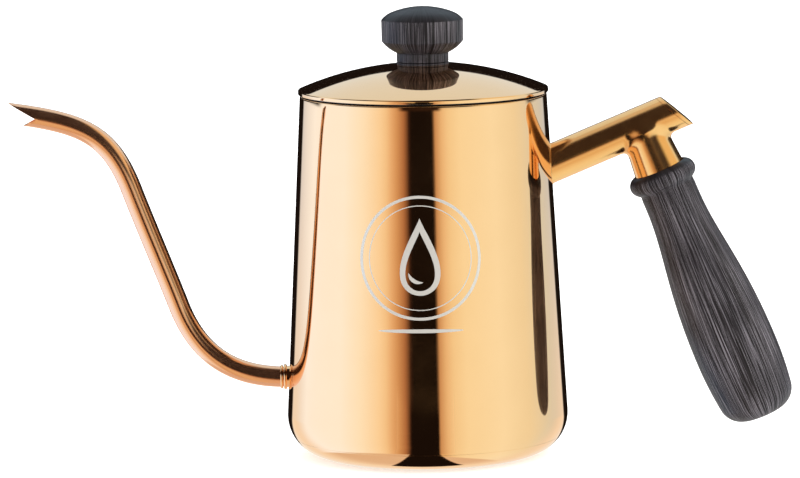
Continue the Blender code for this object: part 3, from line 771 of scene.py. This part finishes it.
def blended_arm():
    """The arm and stub as one skin: remeshed, then drawn on to the blended field."""
    spare = 0.004
    arm = bar_mesh("arm", ARM_RADIUS, -ARM_REACH_IN - spare, ARM_END_X + 2 * spare)
    arm.transform(Matrix.Rotation(pi / 2, 4, "Y"))
    stub = bar_mesh("stub", STUB_END_RADIUS, STUB_END_Z - spare, STUB_START_Z)
    shape = bmesh.new()
    shape.from_mesh(arm)
    shape.from_mesh(stub)
    joined = bpy.data.meshes.new("handle_arm")
    shape.to_mesh(joined)
    shape.free()
    item = bpy.data.objects.new("remesh", joined)
    bpy.context.scene.collection.objects.link(item)
    modifier = item.modifiers.new("skin", "REMESH")
    modifier.mode = "VOXEL"
    modifier.voxel_size = ARM_VOXEL
    bpy.context.view_layer.update()
    mesh = bpy.data.meshes.new_from_object(item.evaluated_get(bpy.context.evaluated_depsgraph_get()))
    mesh.name = "handle_arm"
    bpy.data.objects.remove(item, do_unlink=True)
    points = vertex_array(mesh)
    ends = (points[:, 0] < -ARM_REACH_IN - spare / 2) | (points[:, 0] > ARM_END_X + spare)
    ends |= points[:, 2] < STUB_END_Z - spare / 2
    for _ in range(8):
        shift = np.where(ends, 0.0, arm_field(points))[:, None] * arm_slope(points)
        points -= shift
    mesh.vertices.foreach_set("co", points.ravel())
    return mesh


def slice_off(mesh, point, normal):
    """Takes away what lies beyond a plane and closes the cut."""
    shape = bmesh.new()
    shape.from_mesh(mesh)
    geometry = shape.verts[:] + shape.edges[:] + shape.faces[:]
    done = bmesh.ops.bisect_plane(
        shape, geom=geometry, dist=MERGE, plane_co=point, plane_no=normal, clear_outer=True
    )
    edges = [item for item in done["geom_cut"] if isinstance(item, bmesh.types.BMEdge)]
    bmesh.ops.edgeloop_fill(shape, edges=edges)
    bmesh.ops.recalc_face_normals(shape, faces=shape.faces)
    shape.to_mesh(mesh)
    shape.free()


def exact_normals(mesh):
    """Gives the skin of the blended arm its exact normals, and its cut ends flat ones."""
    mesh.shade_smooth()
    points = vertex_array(mesh)
    slopes = arm_slope(points)
    on_skin = np.abs(arm_field(points)) < ARM_VOXEL / 10
    normals = np.empty((len(mesh.loops), 3))
    for polygon in mesh.polygons:
        flat = np.array(polygon.normal)
        for loop_index, vertex in zip(polygon.loop_indices, polygon.vertices):
            smooth = on_skin[vertex] and slopes[vertex] @ flat > 0.6
            normals[loop_index] = slopes[vertex] if smooth else flat
    mesh.normals_split_custom_set(normals.tolist())


def handle_arm(plating):
    mesh = blended_arm()
    cap_joint = ARM_END_X - END_CAP_THICKNESS - END_CAP_GAP
    slice_off(mesh, (cap_joint, 0.0, 0.0), (1.0, 0.0, ARM_END_SLANT))
    slice_off(mesh, (0.0, 0.0, STUB_END_Z), (0.0, 0.0, -1.0))
    low, high = ARM_CUT_HEIGHTS
    inset = SHEET / 3
    wall = [(wall_radius(height) - inset, height) for height in (high, low)]
    outline = [(0.0, high), *wall, (0.0, low)]
    body = lathe("body_space", outline, LARGE_STEPS)
    body.transform(HANDLE_PLACE.inverted())
    mesh = cut(mesh, body)
    exact_normals(mesh)
    piece = new_piece("handle_arm_fine", mesh, (plating,), HANDLE_PLACE)
    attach(piece, "kettle")
    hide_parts("handle_arm")


def wall_meeting(side_angle):
    """Where a line along the arm meets the wall, in world space."""
    across = ARM_RADIUS * sin(side_angle)
    square = ARM_RADIUS * cos(side_angle)
    near, far = -ARM_REACH_IN, 0.0
    for _ in range(40):
        middle = (near + far) / 2
        point = HANDLE_PLACE @ Vector((middle, across, square))
        if point.xy.length > wall_radius(point.z):
            far = middle
        else:
            near = middle
    return HANDLE_PLACE @ Vector((far, across, square))


def arm_weld(weld):
    """The narrow weld bead round the arm where it meets the wall."""
    sides, turns = 10, MEDIUM_STEPS
    path = [wall_meeting(2 * pi * step / turns) for step in range(turns)]
    middle = sum(path, Vector()) / turns
    rows = []
    for step, point in enumerate(path):
        forward = (path[(step + 1) % turns] - path[step - 1]).normalized()
        outward = (point - middle).normalized()
        up = forward.cross(outward).normalized()
        ripple = WELD_RADIUS * (1.0 + 0.12 * sin(step * 2.4) * sin(step * 0.7))
        angles = [2 * pi * side / sides for side in range(sides)]
        rows.append([point + ripple * (cos(a) * outward + sin(a) * up) for a in angles])
    mesh = grid_mesh("arm_weld", rows, wrap_rows=True)
    close_up(mesh)
    piece = new_piece("arm_weld", mesh, (weld,))
    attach(piece, "kettle")


def handle_end_cap(plating):
    """The oval plate on the arm's slanted end, its edges rounded."""
    start, end = ARM_END_X - END_CAP_THICKNESS, ARM_END_X
    inner = ARM_RADIUS - END_CAP_ROUND
    outline = [(0.0, end)] + split_long([(0.0005, end), (inner, end)], 0.0008)[:-1]
    outline += arc((inner, end - END_CAP_ROUND), END_CAP_ROUND, 90.0, 0.0, 8)
    outline += [(ARM_RADIUS, start + END_CAP_BEVEL), (ARM_RADIUS - END_CAP_BEVEL, start), (0.0, start)]
    mesh = lathe("handle_end_cap", outline, MEDIUM_STEPS)
    mesh.transform(Matrix.Rotation(pi / 2, 4, "Y"))
    for vertex in mesh.vertices:
        vertex.co.x -= ARM_END_SLANT * vertex.co.z
    mesh.update()
    piece = new_piece("handle_end_cap_fine", mesh, (plating,), HANDLE_PLACE)
    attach(piece, "kettle")
    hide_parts("handle_end_cap")


def grip(wood):
    def down(distance):
        return GRIP_BEAD_Z - distance

    bead_centre = (GRIP_BEAD_RADIUS - GRIP_BEAD_ROUND, GRIP_BEAD_Z)
    seat_floor = GRIP_BEAD_Z + GRIP_BEAD_ROUND - GRIP_SEAT_DEPTH
    seat_angle = degrees(acos((GRIP_SEAT_RADIUS - bead_centre[0]) / GRIP_BEAD_ROUND))
    outline = [
        (0.0, GRIP_HOLE_END),
        (GRIP_HOLE_RADIUS, GRIP_HOLE_END),
        (GRIP_HOLE_RADIUS, seat_floor),
        (GRIP_SEAT_RADIUS, seat_floor),
    ]
    outline += arc(bead_centre, GRIP_BEAD_ROUND, seat_angle, -60.0, 30)
    outline += bezier(
        outline[-1],
        (outline[-1][0] - 0.0009, outline[-1][1] - 0.0005),
        (GRIP_WAIST_RADIUS, down(GRIP_WAIST_START)),
        (GRIP_WAIST_RADIUS, down(GRIP_WAIST_START + 0.0012)),
        6,
    )[1:]
    swell = bezier(
        (GRIP_WAIST_RADIUS, down(GRIP_WAIST_END)),
        (GRIP_WAIST_RADIUS, down(GRIP_WAIST_END + GRIP_UPPER_PULL)),
        (GRIP_SWELL_RADIUS, down(GRIP_SWELL - GRIP_LOWER_PULL)),
        (GRIP_SWELL_RADIUS, down(GRIP_SWELL)),
        40,
    )
    taper = turn(swell[-1], GRIP_TAPER_ROUND, 90.0, 90.0 + GRIP_TAPER_ANGLE, 12)
    corner = turn(taper[-1], GRIP_CORNER_ROUND, 90.0 + GRIP_TAPER_ANGLE, 90.0 + GRIP_CORNER_ANGLE, 24)
    crown = corner[-1][0] * tan(radians((90.0 - GRIP_CORNER_ANGLE) / 2))
    outline += swell + taper[1:] + corner[1:]
    outline += bezier(
        corner[-1],
        (corner[-1][0] * 0.6, corner[-1][1] - crown * 0.8),
        (corner[-1][0] * 0.3, corner[-1][1] - crown),
        (0.0, corner[-1][1] - crown),
        8,
    )[1:]
    mesh = lathe("grip", outline, MEDIUM_STEPS)
    piece = new_piece("grip_fine", mesh, (wood,), HANDLE_PLACE)
    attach(piece, "kettle")
    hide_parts("grip")


# Lid


def lid_shell(plating, steel):
    """The dome, its thick edge, the screw hole and the vent hole."""
    centre_radius = LID_RADIUS - LID_SHOULDER_ROUND
    slope = degrees(acos(centre_radius / (DOME_RADIUS - LID_SHOULDER_ROUND)))
    drop = sin(radians(slope)) * (DOME_RADIUS - LID_SHOULDER_ROUND)
    shoulder = (centre_radius, LID_APEX - DOME_RADIUS + drop)
    edge_start = DOME_RADIUS * cos(radians(slope))
    inner = LID_RADIUS - LID_EDGE_THICKNESS
    foot_height = LID_BOTTOM + LID_FOOT_ROUND
    steps = 48
    radii = [SCREW_HOLE_RADIUS + (edge_start - SCREW_HOLE_RADIUS) * step / steps for step in range(steps)]
    outline = [(radius, dome_height(radius)) for radius in radii]
    outline += arc(shoulder, LID_SHOULDER_ROUND, slope, 0.0, 12)
    outline += arc((LID_RADIUS - LID_FOOT_ROUND, foot_height), LID_FOOT_ROUND, 0.0, -90.0, 8)
    outline += arc((inner + LID_FOOT_ROUND, foot_height), LID_FOOT_ROUND, -90.0, -180.0, 8)
    outline += [(inner, dome_height(inner) - SHEET)]
    outline += [(radius, dome_height(radius) - SHEET) for radius in reversed(radii) if radius < inner]
    mesh = lathe("lid_shell", outline, LARGE_STEPS, ring=True)
    vent = bar_mesh("vent", VENT_RADIUS, -0.005, 0.005)
    vent.transform(Matrix.Translation((*VENT_CENTRE, dome_height(Vector(VENT_CENTRE).length))))
    mesh = cut(mesh, vent)
    line_inside(mesh, 1, lambda centre, normal: normal.z < -0.5)
    piece = new_piece("lid_shell_fine", mesh, (plating, steel))
    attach(piece, "lid")
    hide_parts("lid_shell")


def lid_skirt(plating, shadow_band):
    """The ring that drops inside the rim, with a flange turned in under the dome and a band of painted shadow
    at the top of its outside.
    """
    inner = SKIRT_RADIUS - SKIRT_THICKNESS
    drop = dome_height(SKIRT_RADIUS) - SHEET - SKIRT_TOP
    flange = inner - SKIRT_FLANGE
    flange_top = dome_height(flange) - SHEET - drop
    edge = SKIRT_THICKNESS / 2
    outline = [(flange, flange_top), (SKIRT_RADIUS - edge, SKIRT_TOP)]
    outline += arc((SKIRT_RADIUS - edge, SKIRT_TOP - edge), edge, 80.0, 0.0, 8)
    outline += split_long([(SKIRT_RADIUS, SKIRT_TOP - edge), (SKIRT_RADIUS, SKIRT_BOTTOM + edge)])[1:]
    outline += arc((SKIRT_RADIUS - edge, SKIRT_BOTTOM + edge), edge, 0.0, -180.0, 12)[1:]
    outline += split_long([(inner, SKIRT_BOTTOM + edge), (inner, SKIRT_TOP - SKIRT_THICKNESS)])[1:]
    outline += [(flange, flange_top - SKIRT_THICKNESS)]
    mesh = lathe("lid_skirt", outline, LARGE_STEPS, ring=True)
    # Outward faces above that height take the painted shadow of the gap between lid and rim.
    line_inside(mesh, 1, lambda centre, normal: normal.xy.dot(centre.xy) > 0.0 and centre.z > GAP_SHADOW_HEIGHT)
    piece = new_piece("lid_skirt_fine", mesh, (plating, shadow_band))
    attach(piece, "lid")
    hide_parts("lid_skirt")


def knob(wood):
    shoulder, brow = KNOB_SHOULDER_ANGLES
    run = [sin(radians(angle)) for angle in KNOB_SHOULDER_ANGLES]
    rise = [cos(radians(angle)) for angle in KNOB_SHOULDER_ANGLES]
    brow_radius = KNOB_RADIUS - KNOB_SHOULDER_ROUND * (run[0] - run[1])
    brow_height = KNOB_SHOULDER_HEIGHT + KNOB_SHOULDER_ROUND * (rise[1] - rise[0])
    apex = brow_height + KNOB_DOME_ROUND * (1 - cos(asin(brow_radius / KNOB_DOME_ROUND)))
    outline = turn((0.0, apex), KNOB_DOME_ROUND, 0.0, brow, 16)
    outline += turn((brow_radius, brow_height), KNOB_SHOULDER_ROUND, brow, shoulder, 12)[1:]
    outline += turn(outline[-1], KNOB_EDGE_ROUND / 2, shoulder, 90.0, 4)[1:]
    steep, shallow = (180.0 - angle for angle in reversed(KNOB_FLARE_ANGLES))
    flare_height = KNOB_NECK_TOP + KNOB_FLARE_ROUND * (
        cos(radians(KNOB_FLARE_ANGLES[0])) - cos(radians(KNOB_FLARE_ANGLES[1]))
    )
    drum_foot = flare_height + KNOB_EDGE_ROUND * cos(radians(KNOB_FLARE_ANGLES[1]))
    edge = turn((KNOB_RADIUS, drum_foot), KNOB_EDGE_ROUND, 90.0, 180.0 - KNOB_FLARE_ANGLES[1], 6)
    outline += split_long([outline[-1], edge[0]])[1:] + edge[1:]
    outline += turn(outline[-1], KNOB_FLARE_ROUND, steep, shallow, 16)[1:]
    groove = dome_height(KNOB_NECK_RADIUS) + KNOB_GROOVE_HEIGHT
    outline += split_long(
        [
            (KNOB_NECK_RADIUS, KNOB_NECK_TOP),
            (KNOB_NECK_RADIUS, groove + KNOB_GROOVE_HALF),
            (KNOB_NECK_RADIUS - 2 * KNOB_GROOVE_HALF, groove),
            (KNOB_NECK_RADIUS, groove - KNOB_GROOVE_HALF),
            (KNOB_NECK_RADIUS, dome_height(KNOB_NECK_RADIUS)),
            (KNOB_HOLE_RADIUS, dome_height(KNOB_HOLE_RADIUS)),
            (KNOB_HOLE_RADIUS, KNOB_HOLE_TOP),
            (0.0, KNOB_HOLE_TOP),
        ]
    )
    mesh = lathe("knob", outline, MEDIUM_STEPS)
    piece = new_piece("knob_fine", mesh, (wood,))
    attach(piece, "lid")
    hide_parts("knob")


# Front mark


def on_wall(across, up, proud):
    """A flat point of the mark, wrapped on to the wall."""
    height = MARK_HEIGHT + up
    angle = MARK_ANGLE + across / wall_radius(MARK_HEIGHT)
    radius = wall_radius(height) + proud
    return (radius * sin(angle), -radius * cos(angle), height)


def band(shape, outer, inner, closed=True):
    """A thin closed strip between two lines of flat points, wrapped on to the wall."""
    across_steps = 4
    count = len(outer)
    top, bottom = [], []
    for share in (step / across_steps for step in range(across_steps + 1)):
        line = [tuple(a + share * (b - a) for a, b in zip(p, q)) for p, q in zip(outer, inner)]
        top.append([shape.verts.new(on_wall(*point, MARK_PROUD)) for point in line])
        bottom.append([shape.verts.new(on_wall(*point, -MARK_PROUD)) for point in line])
    last = count if closed else count - 1
    for along in range(last):
        beside = (along + 1) % count
        for row in range(across_steps):
            for layer in (top, bottom):
                shape.faces.new(
                    (layer[row][along], layer[row][beside], layer[row + 1][beside], layer[row + 1][along])
                )
        for row in (0, across_steps):
            shape.faces.new((top[row][along], top[row][beside], bottom[row][beside], bottom[row][along]))
    if not closed:
        for along in (0, count - 1):
            for row in range(across_steps):
                shape.faces.new(
                    (top[row][along], top[row + 1][along], bottom[row + 1][along], bottom[row][along])
                )


def circle_line(radius, steps=180):
    return [
        (radius * cos(2 * pi * step / steps), radius * sin(2 * pi * step / steps))
        for step in range(steps)
    ]


def drop_line(half_width, half_height, centre, steps=120):
    """A drop with its point up."""
    points = []
    for step in range(steps):
        angle = 2 * pi * step / steps
        across = half_width * sin(angle) * abs(sin(angle / 2)) ** 1.4
        points.append((across, centre + half_height * cos(angle)))
    return points


def crescent(radius, width, centre, start, end, steps=40):
    """Outer and inner lines of an arc that thins to nothing at both ends."""
    outer, inner = [], []
    for step in range(steps + 1):
        share = step / steps
        angle = radians(start + share * (end - start))
        half = width / 2 * sin(pi * (0.03 + 0.94 * share))
        for line, reach in ((outer, radius + half), (inner, radius - half)):
            line.append((centre[0] + reach * cos(angle), centre[1] + reach * sin(angle)))
    return outer, inner


def bar_lines(half_length, half_width, height, steps=60):
    """Upper and lower lines of a short bar that thins towards its ends."""
    upper, lower = [], []
    for step in range(steps + 1):
        across = half_length * (2 * step / steps - 1)
        half = half_width * sqrt(max(1.0 - (across / half_length) ** 2, 0.01))
        upper.append((across, height + half))
        lower.append((across, height - half))
    return upper, lower


def front_mark(etched):
    shape = bmesh.new()
    band(shape, circle_line(MARK_RING[0]), circle_line(MARK_RING[1]))
    band(shape, circle_line(MARK_HAIRLINE[0]), circle_line(MARK_HAIRLINE[1]))
    band(shape, drop_line(*DROP_OUTSIDE), drop_line(*DROP_INSIDE))
    band(shape, *crescent(*CRESCENT), closed=False)
    band(shape, *bar_lines(*BAR), closed=False)
    bmesh.ops.recalc_face_normals(shape, faces=shape.faces)
    mesh = bpy.data.meshes.new("front_mark")
    shape.to_mesh(mesh)
    shape.free()
    mesh.shade_smooth()
    mesh.set_sharp_from_angle(angle=SHARP_ANGLE)
    piece = new_piece("front_mark", mesh, (etched,))
    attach(piece, "kettle")


# Hardware that stays as the CAD made it


def dress_hardware(steel, brass):
    for name, material in (
        ("stub_plug", steel),
        ("grip_stud", steel),
        ("knob_washer", steel),
        ("knob_spring_washer", steel),
        ("knob_screw", steel),
        ("grip_insert", brass),
        ("knob_insert", brass),
    ):
        item = frame["nodes"][name]
        if not item.material_slots:
            item.data.materials.append(material)
        for slot in item.material_slots:
            slot.material = material


# Stage


def camera():
    """The lens and place that give the reference view: in front of the kettle, looking a little down."""
    place = CAMERA_TARGET + Vector((0.0, -cos(CAMERA_TILT), sin(CAMERA_TILT))) * CAMERA_DISTANCE
    data = bpy.data.cameras.new("camera")
    data.sensor_width = SENSOR_WIDTH
    data.lens = CAMERA_LENS
    item = bpy.data.objects.new("camera", data)
    facing = (CAMERA_TARGET - place).to_track_quat("-Z", "Y").to_matrix().to_4x4()
    item.matrix_world = Matrix.Translation(place) @ facing @ Matrix.Rotation(CAMERA_ROLL, 4, "Z")
    bpy.context.scene.collection.objects.link(item)
    bpy.context.scene.camera = item


def floor():
    corners = [(x * FLOOR_HALF, y * FLOOR_HALF, 0.0) for x, y in ((-1, -1), (1, -1), (1, 1), (-1, 1))]
    mesh = bpy.data.meshes.new("floor")
    mesh.from_pydata(corners, [], [(0, 1, 2, 3)])
    item = new_piece("floor", mesh, (pale_floor(),), Matrix.Translation((0.0, 0.0, -FLOOR_GAP)))
    item.visible_glossy = False


def card_glow(name, stops):
    """A glowing material whose colour runs through the stops along the UV map, clear at both ends."""
    material, tree, *_ = new_material(name, DARK, 0.0, 1.0)
    across = parts_of(node(tree, "ShaderNodeUVMap", uv_map="across").outputs["UV"])[0]
    low, high = stops[0][0], stops[-1][0]
    share = remap(across, low, high, smooth=False)
    colour = colour_ramp(share, [((at - low) / (high - low), tint) for at, tint in stops])
    glow = node(tree, "ShaderNodeEmission", {"Color": colour})
    clear = node(tree, "ShaderNodeBsdfTransparent")
    inside = between(across, low, low + CARD_FADE, high - CARD_FADE, high)
    both = node(tree, "ShaderNodeMixShader", {0: inside, 1: clear.outputs[0], 2: glow.outputs[0]})
    tree.links.new(both.outputs[0], tree.nodes["Material Output"].inputs["Surface"])
    return material


def flag(name, rows, stops):
    """A card before or under the foot, seen only in reflections. Its rows give y and the black part's two
    sides. Across it the colour runs through the stops, with the black part between -1 and 1."""
    columns = [-2.4 + 0.1 * step for step in range(50)]
    points = []
    for y, left, right in rows:
        middle, half = (left + right) / 2, (right - left) / 2
        points.append([(middle + column * half, y, FLAG_DEPTH) for column in columns])
    mesh = grid_mesh(name, points, wrap_columns=False)
    layer = mesh.uv_layers.new(name="across")
    for polygon in mesh.polygons:
        for loop_index, vertex in zip(polygon.loop_indices, polygon.vertices):
            layer.data[loop_index].uv = (columns[vertex % len(columns)], 0.0)
    item = new_piece(name, mesh, (card_glow(name, stops),))
    item.visible_camera = False
    item.visible_diffuse = False
    item.visible_shadow = False


# The view's direction: how far it runs along +Y and down.
VIEW_DEPTH = 0.9917
VIEW_DIP = 0.129
STUDIO_GAIN = 2.2
DARK = (0.010, 0.007, 0.006)
# The studio's ring of soft boxes and flags. For level directions the number is nearly the azimuth in
# degrees: 0 is the camera's side, 90 is +X.
STUDIO_RING = (
    (-180.0, (0.70, 0.85, 1.05)),
    (-150.0, (0.70, 0.85, 1.05)),
    (-136.0, (0.90, 1.15, 1.55)),
    (-120.0, (1.05, 1.42, 2.05)),
    (-78.0, (1.08, 1.43, 2.02)),
    (-58.0, (1.05, 1.30, 1.55)),
    (-41.0, (1.02, 1.08, 1.02)),
    (-35.0, (0.96, 0.93, 0.78)),
    (-30.0, (0.85, 0.69, 0.50)),
    (-25.0, (0.70, 0.49, 0.30)),
    (-19.0, (0.46, 0.25, 0.14)),
    (-14.0, (0.04, 0.02, 0.015)),
    (-12.0, DARK),
    (8.0, DARK),
    (10.0, (0.64, 0.44, 0.27)),
    (16.0, (0.88, 0.78, 0.58)),
    (22.0, (0.96, 0.98, 0.81)),
    (33.0, (1.01, 1.12, 1.02)),
    (65.0, (1.02, 1.19, 1.18)),
    (92.0, (0.93, 1.06, 1.02)),
    (127.0, (0.74, 0.94, 1.12)),
    (150.0, (0.62, 0.80, 1.00)),
    (180.0, (0.62, 0.80, 1.00)),
)
# Colours of the other parts of the studio: the dim front, the table, and what hangs above.
FRONT_DEEP = (0.028, 0.015, 0.010)
FRONT_GOLD = (0.86, 0.73, 0.47)
FRONT_BROWN = (0.36, 0.22, 0.14)
FRONT_PEACH = (0.84, 0.68, 0.52)
TABLE_SHADE = (0.80, 0.73, 0.68)
TABLE_EDGE = (0.95, 0.88, 0.74)
LOW_EDGE = (0.98, 0.99, 0.93)
OVER_FRONT = (0.022, 0.011, 0.007)
OVER_RIGHT = (0.88, 0.80, 0.52)
OVER = (0.78, 0.80, 0.76)
OVER_BACK = (0.80, 1.00, 1.15)
# The flags under and before the foot: y, left side and right side of the black part.
FLAG_DEPTH = -0.060
CARD_FADE = 0.1
FRONT_FLAG = (
    (-1.500, -0.3600, 0.2200),
    (-0.820, -0.1920, 0.1180),
    (-0.605, -0.1420, 0.0874),
    (-0.305, -0.0699, 0.0430),
    (-0.181, -0.0405, 0.0249),
    (-0.107, -0.0242, 0.0149),
    (-0.066, -0.0173, 0.0106),
)
FOOT_FLAG = (
    (-0.066, -0.0185, 0.0108),
    (0.009, -0.0203, 0.0192),
)
FRONT_FLAG_STOPS = (
    (-2.30, (0.81, 0.64, 0.45)),
    (-1.95, (0.69, 0.48, 0.29)),
    (-1.45, (0.46, 0.25, 0.14)),
    (-1.06, (0.04, 0.02, 0.015)),
    (-0.96, DARK),
    (0.98, DARK),
    (1.14, (0.64, 0.44, 0.27)),
    (1.70, (0.88, 0.78, 0.58)),
    (2.30, (0.98, 1.00, 0.84)),
)
FOOT_FLAG_STOPS = (
    (-1.12, (0.30, 0.16, 0.09)),
    (-1.02, DARK),
    (1.02, DARK),
    (1.12, (0.40, 0.24, 0.14)),
)


def scaled(colour):
    return tuple(channel / STUDIO_GAIN for channel in colour)


def paint(ring, share, colour):
    return mix_colour(share, ring, scaled(colour))


def between(value, start, full, fading, end):
    """One between full and fading, nothing beyond start and end, soft from one to the other."""
    return times(remap(value, start, full), remap(value, fading, end, 1.0, 0.0))


def lean_between(lean, *stops):
    """The same for a lean, with its stops in degrees."""
    return between(lean, *(radians(stop) for stop in stops))


def soft_boxes(lean, z):
    """The ring, whose front is deep brown above the level and golden below it, round a core that goes from
    dark through brown to peach further down."""
    turn_share = maths("MULTIPLY_ADD", lean, 1.0 / pi, 0.5)
    ring = colour_ramp(turn_share, [(angle / 360.0 + 0.5, scaled(tint)) for angle, tint in STUDIO_RING])
    low = remap(z, -0.05, -0.09)
    middle = lean_between(lean, -13.0, -9.0, 6.0, 9.0)
    core = lean_between(lean, -4.6, -3.2, 2.0, 3.4)
    brown = mix_colour(remap(z, -0.16, -0.28), scaled(DARK), scaled(FRONT_BROWN))
    front = mix_colour(remap(z, -0.28, -0.46), brown, scaled(FRONT_PEACH))
    ring = paint(ring, times(middle, low), FRONT_GOLD)
    ring = mix_colour(times(core, low), ring, front)
    return paint(ring, times(middle, remap(z, 0.01, 0.06)), FRONT_DEEP)


def table(ring, lean, x, z, depth):
    """Lays the table over the lower ring: its shaded part, then a warmer part nearer to straight down."""
    flat = maths("SQRT", maths("ADD", maths("POWER", x, 2.0), maths("POWER", depth, 2.0)))
    dip = maths("ARCTAN2", maths("MULTIPLY_ADD", z, -1.0, -VIEW_DIP), flat)
    curve = maths("POWER", lean, 2.0)
    bend = maths("MULTIPLY_ADD", lean, -0.30, times(curve, -0.50))
    start = remap(maths("ADD", bend, dip), 0.555, 0.590)
    end = remap(maths("MULTIPLY_ADD", curve, 0.22, dip), 1.03, 1.08, 1.0, 0.0)
    ring = paint(ring, times(start, end), TABLE_SHADE)
    return paint(ring, between(dip, 1.03, 1.10, 2.0, 2.1), TABLE_EDGE)


def edges(ring, lean, y, z):
    """A pale tone in glancing reflections below the level, a dark outline, and a dark back above it."""
    grazing = maths("MULTIPLY_ADD", z, -VIEW_DIP, times(y, VIEW_DEPTH))
    ring = paint(ring, times(remap(grazing, 0.45, 0.85), remap(z, -0.07, -0.16)), LOW_EDGE)
    ring = paint(ring, remap(maths("ABSOLUTE", lean), radians(73.5), radians(75.5)), DARK)
    return paint(ring, times(remap(y, 0.30, 0.45), remap(z, -0.04, 0.0)), DARK)


def overhead(ring, lean, x, y, z):
    """What hangs above: dark over the front with gold beside it, pale behind, and a pale patch near the
    zenith on the spout's side."""
    behind = remap(y, 0.05, 0.30)
    high = times(remap(z, 0.875, 0.925), remap(x, -0.05, -0.25))
    dark_side = lean_between(lean, -50.0, -42.0, 20.0, 30.0)
    over_dark = mix_colour(dark_side, scaled(OVER_RIGHT), scaled(OVER_FRONT))
    over_front = paint(over_dark, high, OVER)
    over_back = mix_colour(high, scaled(OVER_BACK), scaled(OVER))
    over = mix_colour(behind, over_front, over_back)
    front_top = blend(remap(x, 0.05, 0.25), remap(z, 0.14, 0.40), remap(z, 0.04, 0.16))
    return mix_colour(blend(behind, front_top, remap(z, 0.345, 0.365)), ring, over)


def blend(share, first, second):
    return node(share.id_data, "ShaderNodeMix", {0: share, 2: first, 3: second}, data_type="FLOAT").outputs[0]


def studio(tree):
    """What polished metal sees: a ring of soft boxes that runs down to a warm table, dark above the front
    and pale behind. The ring is measured from the view's far side, so its edges run straight up the body."""
    x, y, z = parts_of(node(tree, "ShaderNodeTexCoord").outputs["Generated"])
    depth = maths("SUBTRACT", VIEW_DEPTH, y)
    lean = maths("ARCTAN2", x, depth)
    ring = table(soft_boxes(lean, z), lean, x, z, depth)
    return overhead(edges(ring, lean, y, z), lean, x, y, z)


def world():
    """A white background, soft white light that is stronger from the right, and the studio in reflections."""
    item = bpy.data.worlds.new("studio")
    bpy.context.scene.world = item
    item.use_nodes = True
    tree = item.node_tree
    tree.nodes.clear()
    path = node(tree, "ShaderNodeLightPath")
    white = node(tree, "ShaderNodeBackground", {"Color": (1.0, 1.0, 1.0, 1.0), "Strength": 1.1})
    x = parts_of(node(tree, "ShaderNodeTexCoord").outputs["Generated"])[0]
    strength = remap(x, -0.8, 0.9, 0.95, 2.25)
    soft = node(tree, "ShaderNodeBackground", {"Color": (1.0, 1.0, 1.0, 1.0), "Strength": strength})
    mirrored = node(tree, "ShaderNodeBackground", {"Color": studio(tree), "Strength": STUDIO_GAIN})
    seen = {0: path.outputs["Is Camera Ray"], 1: soft.outputs[0], 2: white.outputs[0]}
    plain = node(tree, "ShaderNodeMixShader", seen)
    both = {0: path.outputs["Is Glossy Ray"], 1: plain.outputs[0], 2: mirrored.outputs[0]}
    surface = node(tree, "ShaderNodeMixShader", both)
    node(tree, "ShaderNodeOutputWorld", {"Surface": surface.outputs[0]})


def main():
    camera()
    bpy.context.scene.view_settings.view_transform = "Standard"
    world()
    floor()
    flag("front_flag", FRONT_FLAG, FRONT_FLAG_STOPS)
    flag("foot_flag", FOOT_FLAG, FOOT_FLAG_STOPS)

    mirror = mirror_plating()
    copper = satin_plating("satin_plating", (0.93, 0.50, 0.29), (0.89, 0.47, 0.27))
    gold = satin_plating("satin_plating_arm", (0.95, 0.52, 0.21), (0.91, 0.49, 0.19))
    wood = black_wood()
    steel = bare_steel()
    brass = bare_brass()

    body_wall(mirror, steel)
    base_pan(mirror, steel)
    spout_collar(mirror)
    spout_tube(copper)
    handle_arm(gold)
    arm_weld(gold)
    handle_end_cap(gold)
    grip(wood)
    lid_shell(mirror, steel)
    # The skirt's second material is the painted shadow in the gap under the lid.
    lid_skirt(mirror, painted_gap_shadow())
    knob(wood)
    front_mark(etched_steel())
    dress_hardware(steel, brass)


main()
